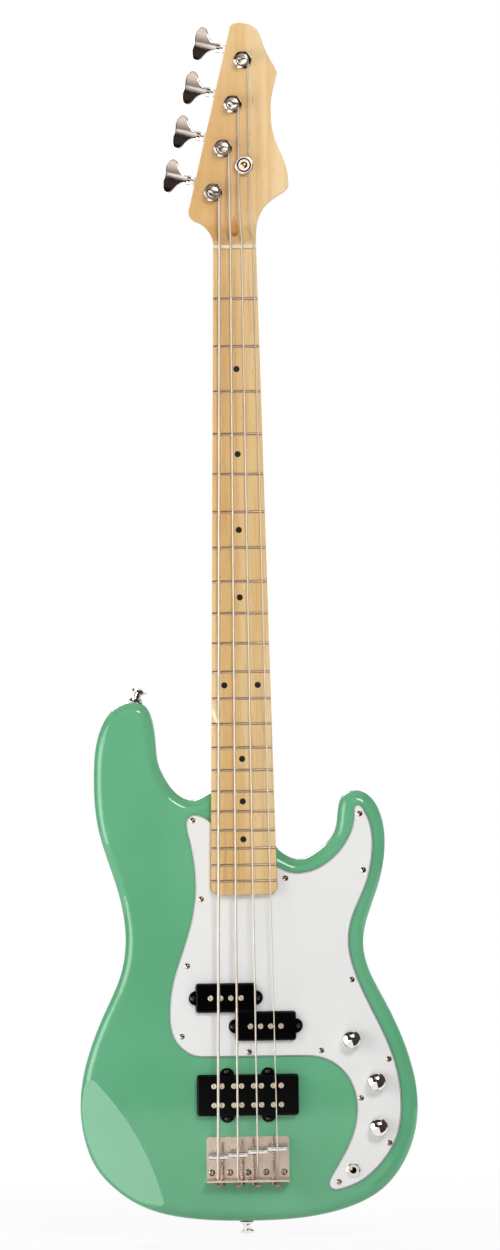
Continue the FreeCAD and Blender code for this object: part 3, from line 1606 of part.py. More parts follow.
def make_foams():
    floor = body_front + rout_depth
    split_low = pickup_levels(cover_rise, guard_front)[0] + pole_length
    bridge_low = pickup_levels(bridge_cover_rise, body_front)[0] + pole_length
    wide = split_pickup_width * foam_width_share
    tall = split_pickup_depth * foam_depth_share
    foams = [rounded_block(place, wide, tall, cover_corner, split_low, floor)
             for place in split_pickup_places()]
    foams.append(rounded_block(bridge_pickup_place(), bridge_pickup_width * foam_width_share,
                               bridge_pickup_depth * foam_depth_share, cover_corner, bridge_low, floor))
    return foams


# Controls


def make_pots():
    pots = []
    for share in control_shares:
        place = on_body(share)
        can = bar(place, pot_radius, body_front, body_front + pot_depth)
        bushing = bar(place, pot_bushing_radius, guard_front - pot_bushing_rise, body_front + pot_depth / 2)
        shape = can.fuse(bushing).removeSplitter()
        low = body_front + pot_depth - pot_lug_thickness
        lugs = []
        for step in (-1, 0, 1):
            x = place[0] - pot_radius - pot_lug_length / 2
            z = place[1] + step * pot_lug_pitch
            lugs.append(block(x, place[0], low, body_front + pot_depth, z - pot_lug_width / 2,
                              z + pot_lug_width / 2))
        bore = bar(place, pot_shaft_radius + pot_shaft_clearance, 0, body_front + pot_shaft_root)
        pots.append(one_solid(shape.fuse(lugs).removeSplitter().cut(bore)))
    return pots


def knob_low():
    return guard_front - knob_gap


def make_pot_shaft(number):
    place = on_body(control_shares[number])
    top = knob_low() - knob_bore_depth
    return bar(place, pot_shaft_radius, top, body_front + pot_shaft_root - pot_shaft_clearance)


def make_knob(number):
    low = knob_low()
    top = low - knob_height
    place = on_body(control_shares[number])
    dome_radius = (knob_radius ** 2 + knob_dome_rise ** 2) / (2 * knob_dome_rise)
    dome = Part.makeSphere(dome_radius, plan(place, top + dome_radius))
    stem = bar(place, knob_radius, top + knob_dome_rise, low)
    crown = bar(place, knob_radius, top, top + knob_dome_rise)
    knob = one_solid(stem.fuse(crown.common(dome)).removeSplitter())
    knob = knob.makeFillet(knob_top_round, edges_at_y(knob, top + knob_dome_rise))
    recess = bar(place, knob_recess_radius, low - knob_recess_depth, low + overrun)
    bore = bar(place, pot_shaft_radius, low - knob_bore_depth, low)
    return one_solid(knob.cut([recess, bore]))


def make_control_nuts():
    nuts = []
    for share in control_shares:
        place = on_body(share)
        nut = hex_nut(place, control_nut_flats, nut_face_share, guard_front - control_nut_height,
                      guard_front)
        nuts.append(nut.cut(bar(place, pot_bushing_radius, 0, body_front)))
    place = on_body(jack_share)
    nut = hex_nut(place, jack_nut_flats, nut_face_share, guard_front - control_nut_height, guard_front)
    nuts.append(nut.cut(bar(place, jack_tube_radius, 0, body_front)))
    return nuts


def make_jack():
    place = on_body(jack_share)
    low = body_front + jack_depth
    bush = bar(place, jack_tube_radius, guard_front - jack_tube_rise, low)
    flange = bar(place, jack_flange_radius, body_front, body_front + jack_flange_thickness)
    bore = bar(place, jack_bore_radius, 0, 2 * low)
    shell = one_solid(bush.fuse(flange).removeSplitter().cut(bore))
    x, z = place
    half = jack_spring_width / 2
    left = x - jack_tube_radius - jack_spring_thickness
    back = low + jack_spring_length
    arm = block(left, x - jack_tube_radius, body_front + jack_flange_thickness, back, z - half, z + half)
    foot = block(left, x - jack_spring_thickness, back - jack_spring_thickness, back, z - half, z + half)
    return [shell, one_solid(arm.fuse(foot).removeSplitter())]


def make_capacitor():
    place = on_body(control_shares[2])
    back = body_front + pot_depth
    return bar(place, capacitor_radius, back, back + capacitor_thickness)


def pot_link(first, second, lug_x, lug_y, level):
    low = first[1] - pot_lug_pitch
    high = second[1] + pot_lug_pitch
    return [vec(first[0] + lug_x, lug_y, low), vec(first[0], level, low),
            vec(second[0], level, high), vec(second[0] + lug_x, lug_y, high)]


def make_wiring():
    level = body_front + wire_drop + rout_depth / 2
    pots = [on_body(share) for share in control_shares]
    jack = on_body(jack_share)
    lug_y = body_front + pot_depth + wire_radius
    lug_x = -pot_radius - pot_lug_length / 4
    right_half = split_pickup_places()[1]
    pickup = bridge_pickup_place()
    start = bridge_wire_start()
    coil_y = pickup_levels(cover_rise, guard_front)[0] + cover_wall + coil_height
    bridge_coil_y = pickup_levels(bridge_cover_rise, body_front)[0] + cover_wall + coil_height
    split_x = right_half[0] + split_pickup_width * split_wire_share
    pickup_x = pickup[0] + bridge_pickup_width * bridge_wire_share
    jack_way = (plan(jack) - plan(start)).normalize()
    jack_end = jack_tube_radius + jack_spring_thickness + wire_radius
    can_back = body_front + pot_depth + wire_radius
    routes = [
        [vec(split_x, coil_y, right_half[1]), vec(split_x, level, right_half[1]),
         vec(pots[0][0] + 2 * lug_x, level, pots[0][1]), vec(pots[0][0] + lug_x, lug_y, pots[0][1])],
        [vec(pickup_x, bridge_coil_y, pickup[1]), vec(pickup_x, level, pickup[1]),
         vec(pots[1][0] - pot_radius / 2, level, pickup[1]),
         vec(pots[1][0] - pot_radius / 2, can_back, pots[1][1] - pot_radius / 2)],
        pot_link(pots[0], pots[1], lug_x, lug_y, level),
        pot_link(pots[1], pots[2], lug_x, lug_y, level),
        [vec(pots[2][0] + lug_x, lug_y, pots[2][1] - pot_lug_pitch),
         vec(pots[2][0], level, pots[2][1] - pot_radius),
         vec(jack[0] + jack_end + wire_bend_radius, level, jack[1] + jack_tube_radius),
         vec(jack[0] + jack_end, body_front + jack_depth / 2, jack[1])],
        [plan(start, body_front), plan(start, level), plan(jack, level) - jack_way * jack_end]]
    wires = []
    for route in routes:
        radii = [wire_bend_radius] * (len(route) - 2)
        wires.append(tube(rounded_path(route, radii), wire_radius))
    print("wires", len(wires), "bend radius", wire_bend_radius)
    return wires


# Strap buttons


def make_strap_buttons():
    top = button_height
    button = turned([(strap_screw_radius + screw_fit, 0), (button_base_radius, 0),
                     (button_base_radius, button_base_height), (button_waist_radius, button_base_height * 2),
                     (button_waist_radius, top - button_rim * 2), (button_head_radius, top - button_rim),
                     (button_head_radius, top), (strap_screw_radius + screw_fit, top)])
    return [placed(button, spot + way * felt_thickness, way) for spot, way in button_spots()]


def make_strap_screws():
    screw = wood_screw(strap_screw_head, strap_screw_radius, strap_screw_length)
    return [placed(screw, spot + way * (felt_thickness + button_height), way * -1)
            for spot, way in button_spots()]


def make_strap_felts(body):
    felts = []
    for spot, way in button_spots():
        felt = rod(spot - way * felt_thickness, spot + way * felt_thickness, felt_radius)
        hole = rod(spot - way * strap_screw_length, spot + way * strap_screw_length,
                   strap_screw_radius + screw_fit)
        pieces = felt.cut([body, hole]).Solids
        felts.append(max(pieces, key=lambda piece: piece.CenterOfMass.dot(way)))
    return felts


# Every node is one file


def save(name, shapes):
    solids = []
    for shape in shapes if isinstance(shapes, list) else [shapes]:
        solids += shape.Solids
    bad = [solid for solid in solids if not solid.isValid()]
    print(name, len(solids), "solids", round(sum(solid.Volume for solid in solids)), "mm3",
          "INVALID" if bad else "")
    whole = solids[0] if len(solids) == 1 else Part.makeCompound(solids)
    whole.exportStep("parts/" + name + ".step")


def main():
    os.makedirs("parts", exist_ok=True)
    solid_neck = make_neck()
    save("neck", solid_neck.cut(neck_cutters()))
    save("walnut_inlays", make_walnut_inlays(solid_neck))
    save("position_dots", [dot.common(solid_neck) for dot in dot_cutters()])
    save("truss_rod", make_truss_rod())
    save("truss_rod_nut", make_truss_rod_nut())
    save("string_nut", make_nut())
    save("frets", make_frets())
    body = make_body()
    save("body", body)
    save("neck_plate", make_neck_plate())
    save("neck_screws", make_neck_screws())
    save("pickguard", make_pickguard())
    save("pickguard_screws", make_guard_screws())
    save("split_pickup_covers", make_split_covers())
    save("bridge_pickup_cover", make_bridge_cover())
    save("pickup_pole_pieces", make_poles())
    save("pickup_coils", make_coils())
    save("pickup_screws", make_pickup_screws())
    save("pickup_foams", make_foams())
    save("bridge_plate", make_bridge_plate())
    save("bridge_screws", make_bridge_screws())
    save("strap_buttons", make_strap_buttons())
    save("strap_button_screws", make_strap_screws())
    save("strap_felts", make_strap_felts(body))
    save("pots", make_pots())
    save("control_nuts", make_control_nuts())
    save("jack", make_jack())
    save("capacitor", make_capacitor())
    save("wiring", make_wiring())
    housing = make_housing()
    save("tuner_housings", [in_tuner_frame(housing, index) for index in range(string_count)])
    save("tuner_nuts", make_tuner_nuts())
    save("tuner_screws", make_tuner_screws())
    save("string_retainer", make_retainer())
    save("strings", [make_string(index) for index in range(string_count)])
    save("ball_ends", make_ball_ends())
    post = make_post()
    worm = make_worm_shaft()
    key = make_key()
    for index, name in enumerate(string_names):
        save("tuner_key_" + name, [in_tuner_frame(key, index), in_tuner_frame(worm, index)])
        save("tuner_post_" + name, in_tuner_frame(post, index))
        save("saddle_" + name, make_saddle(index))
        save("intonation_screw_" + name, make_intonation_screw(index))
        save("intonation_spring_" + name, make_spring(index))
    for number, name in enumerate(control_names):
        save(name + "_knob", make_knob(number))
        save(name + "_shaft", make_pot_shaft(number))


main()
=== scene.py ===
import math
import bpy
from mathutils import Matrix, Vector


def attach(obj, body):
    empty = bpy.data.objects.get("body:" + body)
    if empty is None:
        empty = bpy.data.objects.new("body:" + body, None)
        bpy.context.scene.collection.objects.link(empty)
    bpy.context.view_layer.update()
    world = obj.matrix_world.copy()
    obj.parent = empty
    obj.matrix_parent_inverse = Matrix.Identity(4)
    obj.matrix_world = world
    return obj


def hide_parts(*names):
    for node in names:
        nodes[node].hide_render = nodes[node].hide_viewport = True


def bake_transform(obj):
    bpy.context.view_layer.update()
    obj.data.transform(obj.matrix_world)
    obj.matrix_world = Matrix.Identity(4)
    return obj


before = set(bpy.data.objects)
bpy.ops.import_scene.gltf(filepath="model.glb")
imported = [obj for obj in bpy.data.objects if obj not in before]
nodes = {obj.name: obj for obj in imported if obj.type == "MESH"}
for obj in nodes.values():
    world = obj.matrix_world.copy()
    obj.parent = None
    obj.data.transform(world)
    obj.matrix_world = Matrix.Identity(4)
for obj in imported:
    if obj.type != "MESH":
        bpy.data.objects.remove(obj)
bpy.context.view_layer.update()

scene = bpy.context.scene
mm = 0.001
fullTurn = 2 * math.pi
stringNames = ["e", "a", "d", "g"]
print("bass guitar: frame loaded,", len(nodes), "nodes")


# shader sockets that can be added, scaled and compared like numbers

class Wire:
    def __init__(self, finish, socket):
        self.finish = finish
        self.socket = socket

    def maths(self, operation, first, second=0.0):
        return self.finish.add("ShaderNodeMath", {"operation": operation}, {0: first, 1: second})

    def __add__(self, other):
        return self.maths("ADD", self, other)

    def __radd__(self, other):
        return self.maths("ADD", other, self)

    def __sub__(self, other):
        return self.maths("SUBTRACT", self, other)

    def __rsub__(self, other):
        return self.maths("SUBTRACT", other, self)

    def __mul__(self, other):
        return self.maths("MULTIPLY", self, other)

    def __rmul__(self, other):
        return self.maths("MULTIPLY", other, self)

    def __gt__(self, other):
        return self.maths("GREATER_THAN", self, other)

    def __lt__(self, other):
        return self.maths("LESS_THAN", self, other)

    def root(self):
        return self.maths("SQRT", self)

    def ridges(self, pitch):
        # 0 in each groove and 1 on each ridge
        return self.maths("SINE", self * (fullTurn / pitch)) * 0.5 + 0.5


class Finish:
    def __init__(self, name, tree=None):
        # a material of this name, or the given tree, such as the world's
        self.tree = tree
        if tree is None:
            self.material = bpy.data.materials.new(name)
            self.material.use_nodes = True
            self.tree = self.material.node_tree
            self.shader = self.tree.nodes["Principled BSDF"]

    def fill(self, socket, value):
        if isinstance(value, Wire):
            self.tree.links.new(value.socket, socket)
        elif isinstance(value, tuple) and socket.type == "RGBA":
            socket.default_value = (*value, 1.0)
        else:
            socket.default_value = value

    def add(self, kind, settings=None, sockets=None, out=0):
        node = self.tree.nodes.new(kind)
        for key, value in (settings or {}).items():
            setattr(node, key, value)
        for key, value in (sockets or {}).items():
            self.fill(node.inputs[key], value)
        return Wire(self, node.outputs[out])

    def place(self, stretch):
        spot = self.add("ShaderNodeTexCoord", out="Object")
        return self.add("ShaderNodeVectorMath", {"operation": "MULTIPLY"}, {0: spot, 1: stretch})

    def axis(self, letter):
        spot = self.add("ShaderNodeTexCoord", out="Object")
        return self.add("ShaderNodeSeparateXYZ", {}, {0: spot}, out=letter)

    def noise(self, scale, detail=3.0, stretch=(1, 1, 1), rough=0.5):
        return self.add("ShaderNodeTexNoise", {}, {"Vector": self.place(stretch), "Scale": scale,
                                                   "Detail": detail, "Roughness": rough})

    def ease(self, value, low, high):
        return self.add("ShaderNodeMapRange", {"interpolation_type": "SMOOTHSTEP"},
                        {"Value": value, "From Min": low, "From Max": high})

    def mix(self, factor, first, second):
        return self.add("ShaderNodeMix", {"data_type": "RGBA"},
                        {0: factor, 6: first, 7: second}, out=2)

    def bump(self, height, distance):
        return self.add("ShaderNodeBump", {}, {"Height": height, "Distance": distance})

    def surface(self, wire):
        self.tree.nodes.remove(self.shader)
        self.fill(self.tree.nodes["Material Output"].inputs["Surface"], wire)
        return self.material

    def set(self, **values):
        for key, value in values.items():
            self.fill(self.shader.inputs[key.replace("_", " ")], value)
        return self.material


def darker(colour, share):
    return tuple(part * share for part in colour)


# finishes: each maker fills in a new material from the values above it

lacquerLook = {
    "deep": (0.112, 0.385, 0.200), "clear": (0.140, 0.435, 0.240),
    "cloud": {"scale": 7.0, "detail": 2.0}, "cloudRange": (0.3, 0.7),
    "dust": {"scale": 900.0, "detail": 2.0}, "roughness": 0.3, "dustRoughness": 0.06,
    "peel": {"scale": 420.0, "detail": 1.0}, "peelDepth": 0.02 * mm,
    "coat": 0.85, "coatRoughness": 0.04}


def greenLacquer(f):
    look = lacquerLook
    cloud = f.ease(f.noise(**look["cloud"]), *look["cloudRange"])
    dust = f.noise(**look["dust"])
    peel = f.noise(**look["peel"])
    return f.set(Base_Color=f.mix(cloud, look["deep"], look["clear"]),
                 Roughness=look["roughness"] + look["dustRoughness"] * dust,
                 Coat_Weight=look["coat"], Coat_Roughness=look["coatRoughness"],
                 Specular_IOR_Level=0.0, Normal=f.bump(peel, look["peelDepth"]))


mapleLook = {
    "pale": (0.80, 0.585, 0.30), "warm": (0.71, 0.45, 0.17), "amber": (0.62, 0.33, 0.10),
    "streak": (0.42, 0.19, 0.05), "fleck": (0.33, 0.15, 0.05),
    "nut": (12 * mm, -20 * mm),
    "figure": {"scale": 46.0, "stretch": (1, 1, 0.06)}, "figureRange": (0.32, 0.68),
    "patch": {"scale": 21.0, "detail": 2.0, "stretch": (1, 1, 0.3)},
    "patchRange": (0.52, 0.78), "patchShare": 0.5,
    "heartAcross": (30 * mm, -12 * mm), "heartUp": (210 * mm, 130 * mm), "heartShare": 0.66,
    "ring": {"scale": 170.0, "stretch": (1, 1, 0.018), "rough": 0.55},
    "ringRange": (0.53, 0.66), "ringShare": 0.26, "ringPlayed": -0.08,
    "fibre": {"scale": 420.0, "detail": 4.0, "stretch": (1, 1, 0.022), "rough": 0.6},
    "fibreRange": (0.5, 0.72), "fibreShare": 0.2, "fibrePlayed": 0.19,
    "ray": {"scale": 900.0, "detail": 2.0, "stretch": (1, 1, 0.09)},
    "rayRange": (0.66, 0.76), "rayShare": 0.5, "rayHeight": 0.5,
    "roughness": 0.3, "fibreRoughness": 0.16, "coat": 0.5, "coatRoughness": 0.12,
    "depth": 0.03 * mm}


def maple(f):
    look = mapleLook
    figure, patch = f.noise(**look["figure"]), f.noise(**look["patch"])
    fibre, ring, ray = f.noise(**look["fibre"]), f.noise(**look["ring"]), f.noise(**look["ray"])
    x, z = f.axis("X"), f.axis("Z")
    played = f.ease(z, *look["nut"])  # 1 on the fretboard side of the nut
    colour = f.mix(f.ease(figure, *look["figureRange"]), look["pale"], look["warm"])
    # the head's darker left side
    heart = f.ease(x, *look["heartAcross"]) * f.ease(z, *look["heartUp"])
    heart = heart * (look["heartShare"] - look["heartShare"] * played)
    patches = f.ease(patch, *look["patchRange"]) * look["patchShare"]
    colour = f.mix(patches + heart, colour, look["amber"])
    rings = f.ease(ring, *look["ringRange"])
    colour = f.mix(rings * (look["ringShare"] + look["ringPlayed"] * played), colour,
                   look["amber"])
    lines = f.ease(fibre, *look["fibreRange"])
    colour = f.mix(lines * (look["fibreShare"] + look["fibrePlayed"] * played), colour,
                   look["streak"])
    flecks = f.ease(ray, *look["rayRange"])
    colour = f.mix(flecks * look["rayShare"], colour, look["fleck"])
    return f.set(Base_Color=colour, Roughness=look["roughness"] + look["fibreRoughness"] * fibre,
                 Coat_Weight=look["coat"], Coat_Roughness=look["coatRoughness"],
                 Normal=f.bump(fibre + ray * look["rayHeight"], look["depth"]))


walnutLook = {
    "dark": (0.16, 0.055, 0.015), "light": (0.36, 0.15, 0.045), "grainRange": (0.32, 0.68),
    "grain": {"scale": 260.0, "detail": 4.0, "stretch": (1, 1, 0.05), "rough": 0.6},
    "plug": (0.62, 0.27, 0.05), "plugFoot": (0.30, 0.11, 0.02), "plugRange": (0.45, 0.7),
    "plugShare": 0.4, "footRange": (17.5 * mm, 12.5 * mm), "footShare": 0.8,
    "roughness": 0.32, "grainRoughness": 0.15, "coat": 0.5, "coatRoughness": 0.12,
    "depth": 0.03 * mm}


def walnut(f):
    # the strip in the neck's back, and above the nut the paler plug
    look = walnutLook
    grain, z = f.noise(**look["grain"]), f.axis("Z")
    strip = f.mix(f.ease(grain, *look["grainRange"]), look["dark"], look["light"])
    plug = f.mix(f.ease(z, *look["footRange"]) * look["footShare"], look["plug"],
                 look["plugFoot"])
    plug = f.mix(f.ease(grain, *look["plugRange"]) * look["plugShare"], plug, look["plugFoot"])
    return f.set(Base_Color=f.mix(z > 0.0, strip, plug),
                 Roughness=look["roughness"] + look["grainRoughness"] * grain,
                 Coat_Weight=look["coat"], Coat_Roughness=look["coatRoughness"],
                 Normal=f.bump(grain, look["depth"]))


plyLook = {
    "white": (0.80, 0.80, 0.79), "black": (0.014, 0.013, 0.012),
    # upper: the black core ply; from lower to the underside black again, a fourth ply that also
    # paints the contact shadow against the body
    "upper": (8.55 * mm, 9.0 * mm), "lower": 9.48 * mm,
    "haze": {"scale": 14.0, "detail": 2.0}, "hazeRange": (0.3, 0.7), "hazeTint": 0.97,
    "scuff": {"scale": 900.0}, "roughness": 0.24, "scuffRoughness": 0.1, "depth": 0.001 * mm,
    "coat": 0.2, "coatRoughness": 0.1}


def pliedPlastic(f):
    look = plyLook
    y = f.axis("Y")
    # the black core ply, and a black bottom band: a fourth ply that also paints the contact shadow
    # between guard and body
    coreAndShadowBand = (y > look["upper"][0]) * (y < look["upper"][1]) + (y > look["lower"])
    haze = f.ease(f.noise(**look["haze"]), *look["hazeRange"])
    white = f.mix(haze, look["white"], darker(look["white"], look["hazeTint"]))
    scuff = f.noise(**look["scuff"])
    return f.set(Base_Color=f.mix(coreAndShadowBand, white, look["black"]),
                 Roughness=look["roughness"] + look["scuffRoughness"] * scuff,
                 Coat_Weight=look["coat"], Coat_Roughness=look["coatRoughness"],
                 Normal=f.bump(scuff, look["depth"]))


retainerLook = {
    "spot": (10.08 * mm, 80.07 * mm), "screw": 3.3 * mm, "ring": (5.5 * mm, 6.9 * mm),
    # dark: the ring painted into the groove, as its shade
    "bright": (0.84, 0.77, 0.71), "dark": (0.07, 0.05, 0.045), "brass": (0.52, 0.33, 0.19),
    "smear": {"scale": 900.0}, "roughness": 0.08, "smearRoughness": 0.1, "depth": 0.002 * mm}


def ringedNickel(f):
    # polished disc with a dark ring painted into its groove as shade, and a brassy screw, by the
    # distance from its axis
    look = retainerLook
    aside, above = f.axis("X") - look["spot"][0], f.axis("Z") - look["spot"][1]
    away = (aside * aside + above * above).root()
    # the groove's ring, where the dark painted shade goes
    shadedGroove = (away > look["ring"][0]) * (away < look["ring"][1])
    colour = f.mix(shadedGroove, look["bright"], look["dark"])
    colour = f.mix(away < look["screw"], colour, look["brass"])
    smear = f.noise(**look["smear"])
    return f.set(Base_Color=colour, Metallic=1.0,
                 Roughness=look["roughness"] + look["smearRoughness"] * smear,
                 Normal=f.bump(smear, look["depth"]))


threadLook = {
    # root: the darker colour of the thread's grooves, painted shade
    "pitch": 0.7 * mm, "start": -893.0 * mm, "depth": 0.2 * mm, "root": (0.20, 0.11, 0.08),
    "crest": (0.80, 0.66, 0.57), "roughness": 0.34, "crestPolish": 0.12}


def threadedSteel(f):
    # screw thread along the strings' line, from the bridge's lip on; the darker root colour paints
    # the shade in the thread's grooves
    look = threadLook
    z = f.axis("Z")
    thread = z.ridges(look["pitch"]) * (z > look["start"])
    return f.set(Base_Color=f.mix(thread, look["root"], look["crest"]), Metallic=1.0,
                 Roughness=look["roughness"] - look["crestPolish"] * thread,
                 Normal=f.bump(thread, look["depth"]))


stringLooks = {
    # groove: the darker colour painted into the grooves between the wraps, as shade
    "wound_string": {"colour": (0.94, 0.90, 0.82), "shadedGroove": (0.50, 0.41, 0.31), "metallic": 0.6},
    # the winding and tail round the post: a darker copy of the string finish, painted shade under
    # the post's cap
    "shaded_coil_string": {"colour": (0.42, 0.35, 0.29), "shadedGroove": (0.12, 0.085, 0.06),
                      "metallic": 1.0}}
wrapLook = {
    "pitch": 0.42 * mm, "depth": 0.08 * mm, "roughness": 0.42, "ridgePolish": 0.14,
    "tarnish": {"scale": 40.0, "stretch": (1, 1, 0.3)}, "tarnishRange": (0.5, 0.8),
    "tarnishShare": 0.3}


def woundSteel(f, colour, shadedGroove, metallic):
    look = wrapLook
    along = f.add("ShaderNodeAttribute", {"attribute_name": "along"}, out="Fac")
    ridge = along.ridges(look["pitch"])
    tarnish = f.ease(f.noise(**look["tarnish"]), *look["tarnishRange"])
    # the grooves between the wraps take the darker colour: painted shade
    shade = f.mix(ridge, shadedGroove, colour)
    return f.set(Base_Color=f.mix(tarnish * look["tarnishShare"], shade, shadedGroove),
                 Metallic=metallic, Roughness=look["roughness"] - look["ridgePolish"] * ridge,
                 Normal=f.bump(ridge, look["depth"]))


metalLooks = {
    "chrome": {"colour": (0.86, 0.84, 0.83), "roughness": 0.06, "spread": 0.1, "scale": 500.0,
               "depth": 0.0015 * mm, "tint": 0.97},
    "nickel": {"colour": (0.80, 0.74, 0.69), "roughness": 0.07, "spread": 0.12, "scale": 900.0,
               "depth": 0.002 * mm},
    "bridge_nickel": {"colour": (0.88, 0.72, 0.59), "roughness": 0.24, "spread": 0.16,
                      "scale": 900.0, "depth": 0.006 * mm, "stretch": (1, 1, 0.12)},
    # nickel darkened for the pickguard screws: painted dark reflection
    "shaded_screw_nickel": {"colour": (0.44, 0.32, 0.26), "roughness": 0.12, "spread": 0.16,
                     "scale": 900.0},
    # nickel darkened for tuner nuts, bridge screws and ball ends: painted dark reflection
    "shaded_nickel": {"colour": (0.30, 0.245, 0.215), "roughness": 0.07, "spread": 0.12,
                    "scale": 900.0, "depth": 0.002 * mm},
    "steel": {"colour": (0.60, 0.57, 0.53), "roughness": 0.24, "spread": 0.2, "scale": 1200.0},
    "spring_wire": {"colour": (0.74, 0.62, 0.55), "roughness": 0.16, "spread": 0.15,
                    "scale": 1500.0},
    "fret_wire": {"colour": (0.42, 0.325, 0.235), "roughness": 0.28, "spread": 0.2,
                  "scale": 1500.0, "stretch": (0.1, 1, 1)},
    "pole_steel": {"colour": (0.86, 0.76, 0.60), "roughness": 0.3, "spread": 0.2,
                   "scale": 1400.0},
    "black_screw": {"colour": (0.05, 0.046, 0.045), "roughness": 0.22, "spread": 0.2,
                    "scale": 1200.0},
    "brass": {"colour": (0.72, 0.52, 0.24), "roughness": 0.2, "spread": 0.2, "scale": 900.0},
    "copper_wire": {"colour": (0.66, 0.28, 0.12), "roughness": 0.3, "spread": 0.2,
                    "scale": 300.0, "depth": 0.02 * mm, "stretch": (1, 30, 1)}}
smearLook = {"smear": {"scale": 55.0}, "smearRange": (0.35, 0.7)}


def metal(f, colour, roughness, spread, scale, depth=0.004 * mm, stretch=(1, 1, 1), tint=0.9):
    # smears darken the colour, and smears and scratches together roughen it
    smear = f.noise(**smearLook["smear"])
    scratch = f.noise(scale, stretch=stretch)
    shade = f.mix(f.ease(smear, *smearLook["smearRange"]), colour, darker(colour, tint))
    return f.set(Base_Color=shade, Metallic=1.0, Roughness=roughness + spread * smear * scratch,
                 Normal=f.bump(scratch, depth))


mouldedLooks = {
    "black_plastic": {"colour": (0.0010, 0.0010, 0.0012), "roughness": 0.14, "specular": 0.12},
    "black_inlay": {"colour": (0.012, 0.011, 0.010), "roughness": 0.3},
    "foam": {"colour": (0.05, 0.05, 0.052), "roughness": 0.9, "scale": 1200.0, "depth": 0.3 * mm},
    "capacitor_coating": {"colour": (0.45, 0.12, 0.03), "roughness": 0.3, "scale": 500.0,
                          "depth": 0.02 * mm, "coat": 0.4},
    "wire_cover": {"colour": (0.62, 0.58, 0.48), "roughness": 0.7, "scale": 2200.0,
                   "depth": 0.05 * mm}}
poreLook = {"cloud": {"scale": 30.0, "detail": 2.0}, "cloudRange": (0.3, 0.7), "cloudTint": 0.85,
            "poreRoughness": 0.12}


def moulded(f, colour, roughness, scale=1600.0, depth=0.01 * mm, coat=0.0, specular=0.5):
    look = poreLook
    pores = f.noise(scale)
    cloud = f.ease(f.noise(**look["cloud"]), *look["cloudRange"])
    return f.set(Base_Color=f.mix(cloud, colour, darker(colour, look["cloudTint"])),
                 Roughness=roughness + look["poreRoughness"] * (pores - 0.5), Coat_Weight=coat,
                 Specular_IOR_Level=specular, Normal=f.bump(pores, depth))


nutLook = {
    "light": (0.76, 0.68, 0.50), "dark": (0.66, 0.56, 0.37), "roughness": 0.34,
    "grain": {"scale": 500.0, "stretch": (0.08, 1, 1)}, "grainRange": (0.35, 0.7),
    "grainRoughness": 0.1, "depth": 0.02 * mm}


def creamNut(f):
    look = nutLook
    grain = f.noise(**look["grain"])
    return f.set(Base_Color=f.mix(f.ease(grain, *look["grainRange"]), look["light"], look["dark"]),
                 Roughness=look["roughness"] + look["grainRoughness"] * grain,
                 Normal=f.bump(grain, look["depth"]))


fuzzLook = {
    "dark": (0.015, 0.014, 0.013), "light": (0.06, 0.055, 0.05), "roughness": 0.95, "sheen": 0.4,
    "fuzz": {"scale": 2600.0, "detail": 5.0, "rough": 0.7}, "depth": 0.2 * mm}


def felt(f):
    look = fuzzLook
    fuzz = f.noise(**look["fuzz"])
    return f.set(Base_Color=f.mix(fuzz, look["dark"], look["light"]), Roughness=look["roughness"],
                 Normal=f.bump(fuzz, look["depth"]), Sheen_Weight=look["sheen"])


makers = {
    "green_lacquer": greenLacquer, "maple": maple, "walnut": walnut, "felt": felt,
    "plied_plastic": pliedPlastic, "ringed_nickel": ringedNickel, "cream_nut": creamNut,
    "threaded_steel": threadedSteel}
looks = {name: make(Finish(name)) for name, make in makers.items()}
for make, table in ((woundSteel, stringLooks), (metal, metalLooks), (moulded, mouldedLooks)):
    for name, facts in table.items():
        looks[name] = make(Finish(name), **facts)


def perString(stem):
    return [stem + name for name in stringNames]


wearers = {
    "maple": ["neck"],
    "walnut": ["walnut_inlays"],
    "black_inlay": ["position_dots"],
    "cream_nut": ["string_nut"],
    "fret_wire": ["frets"],
    "green_lacquer": ["body"],
    "plied_plastic": ["pickguard"],
    "shaded_screw_nickel": ["pickguard_screws"],
    "black_plastic": ["split_pickup_covers", "bridge_pickup_cover"],
    "pole_steel": ["pickup_pole_pieces"],
    "copper_wire": ["pickup_coils"],
    "black_screw": ["pickup_screws"],
    "foam": ["pickup_foams"],
    "bridge_nickel": ["bridge_plate"],
    # the darkened nickel: painted dark reflection
    "shaded_nickel": ["bridge_screws", "tuner_nuts", "ball_ends"],
    "ringed_nickel": ["string_retainer"],
    "felt": ["strap_felts"],
    "capacitor_coating": ["capacitor"],
    "wire_cover": ["wiring"],
    "wound_string": ["strings"],
    "steel": ["truss_rod", "truss_rod_nut", "pots"],
    "brass": ["front_volume_shaft", "rear_volume_shaft", "tone_shaft"],
    "chrome": ["neck_plate", "neck_screws", "strap_buttons", "strap_button_screws",
               "front_volume_knob", "rear_volume_knob", "tone_knob", *perString("saddle_")],
    "nickel": ["control_nuts", "jack", "tuner_housings", "tuner_screws",
               *perString("tuner_key_"), *perString("tuner_post_")],
    "threaded_steel": perString("intonation_screw_"),
    "spring_wire": perString("intonation_spring_")}
finishOf = {name: look for look, names in wearers.items() for name in names}

for name, node in nodes.items():
    node.data.materials.clear()
    node.data.materials.append(looks[finishOf[name]])
print("bass guitar: finishes on", len(finishOf), "nodes")


# pieces made here, and round wires swept along a route

def newPiece(name, verts, faces, material):
    mesh = bpy.data.meshes.new(name)
    mesh.from_pydata(verts, [], faces)
    mesh.materials.append(material)
    piece = bpy.data.objects.new(name, mesh)
    scene.collection.objects.link(piece)
    return piece


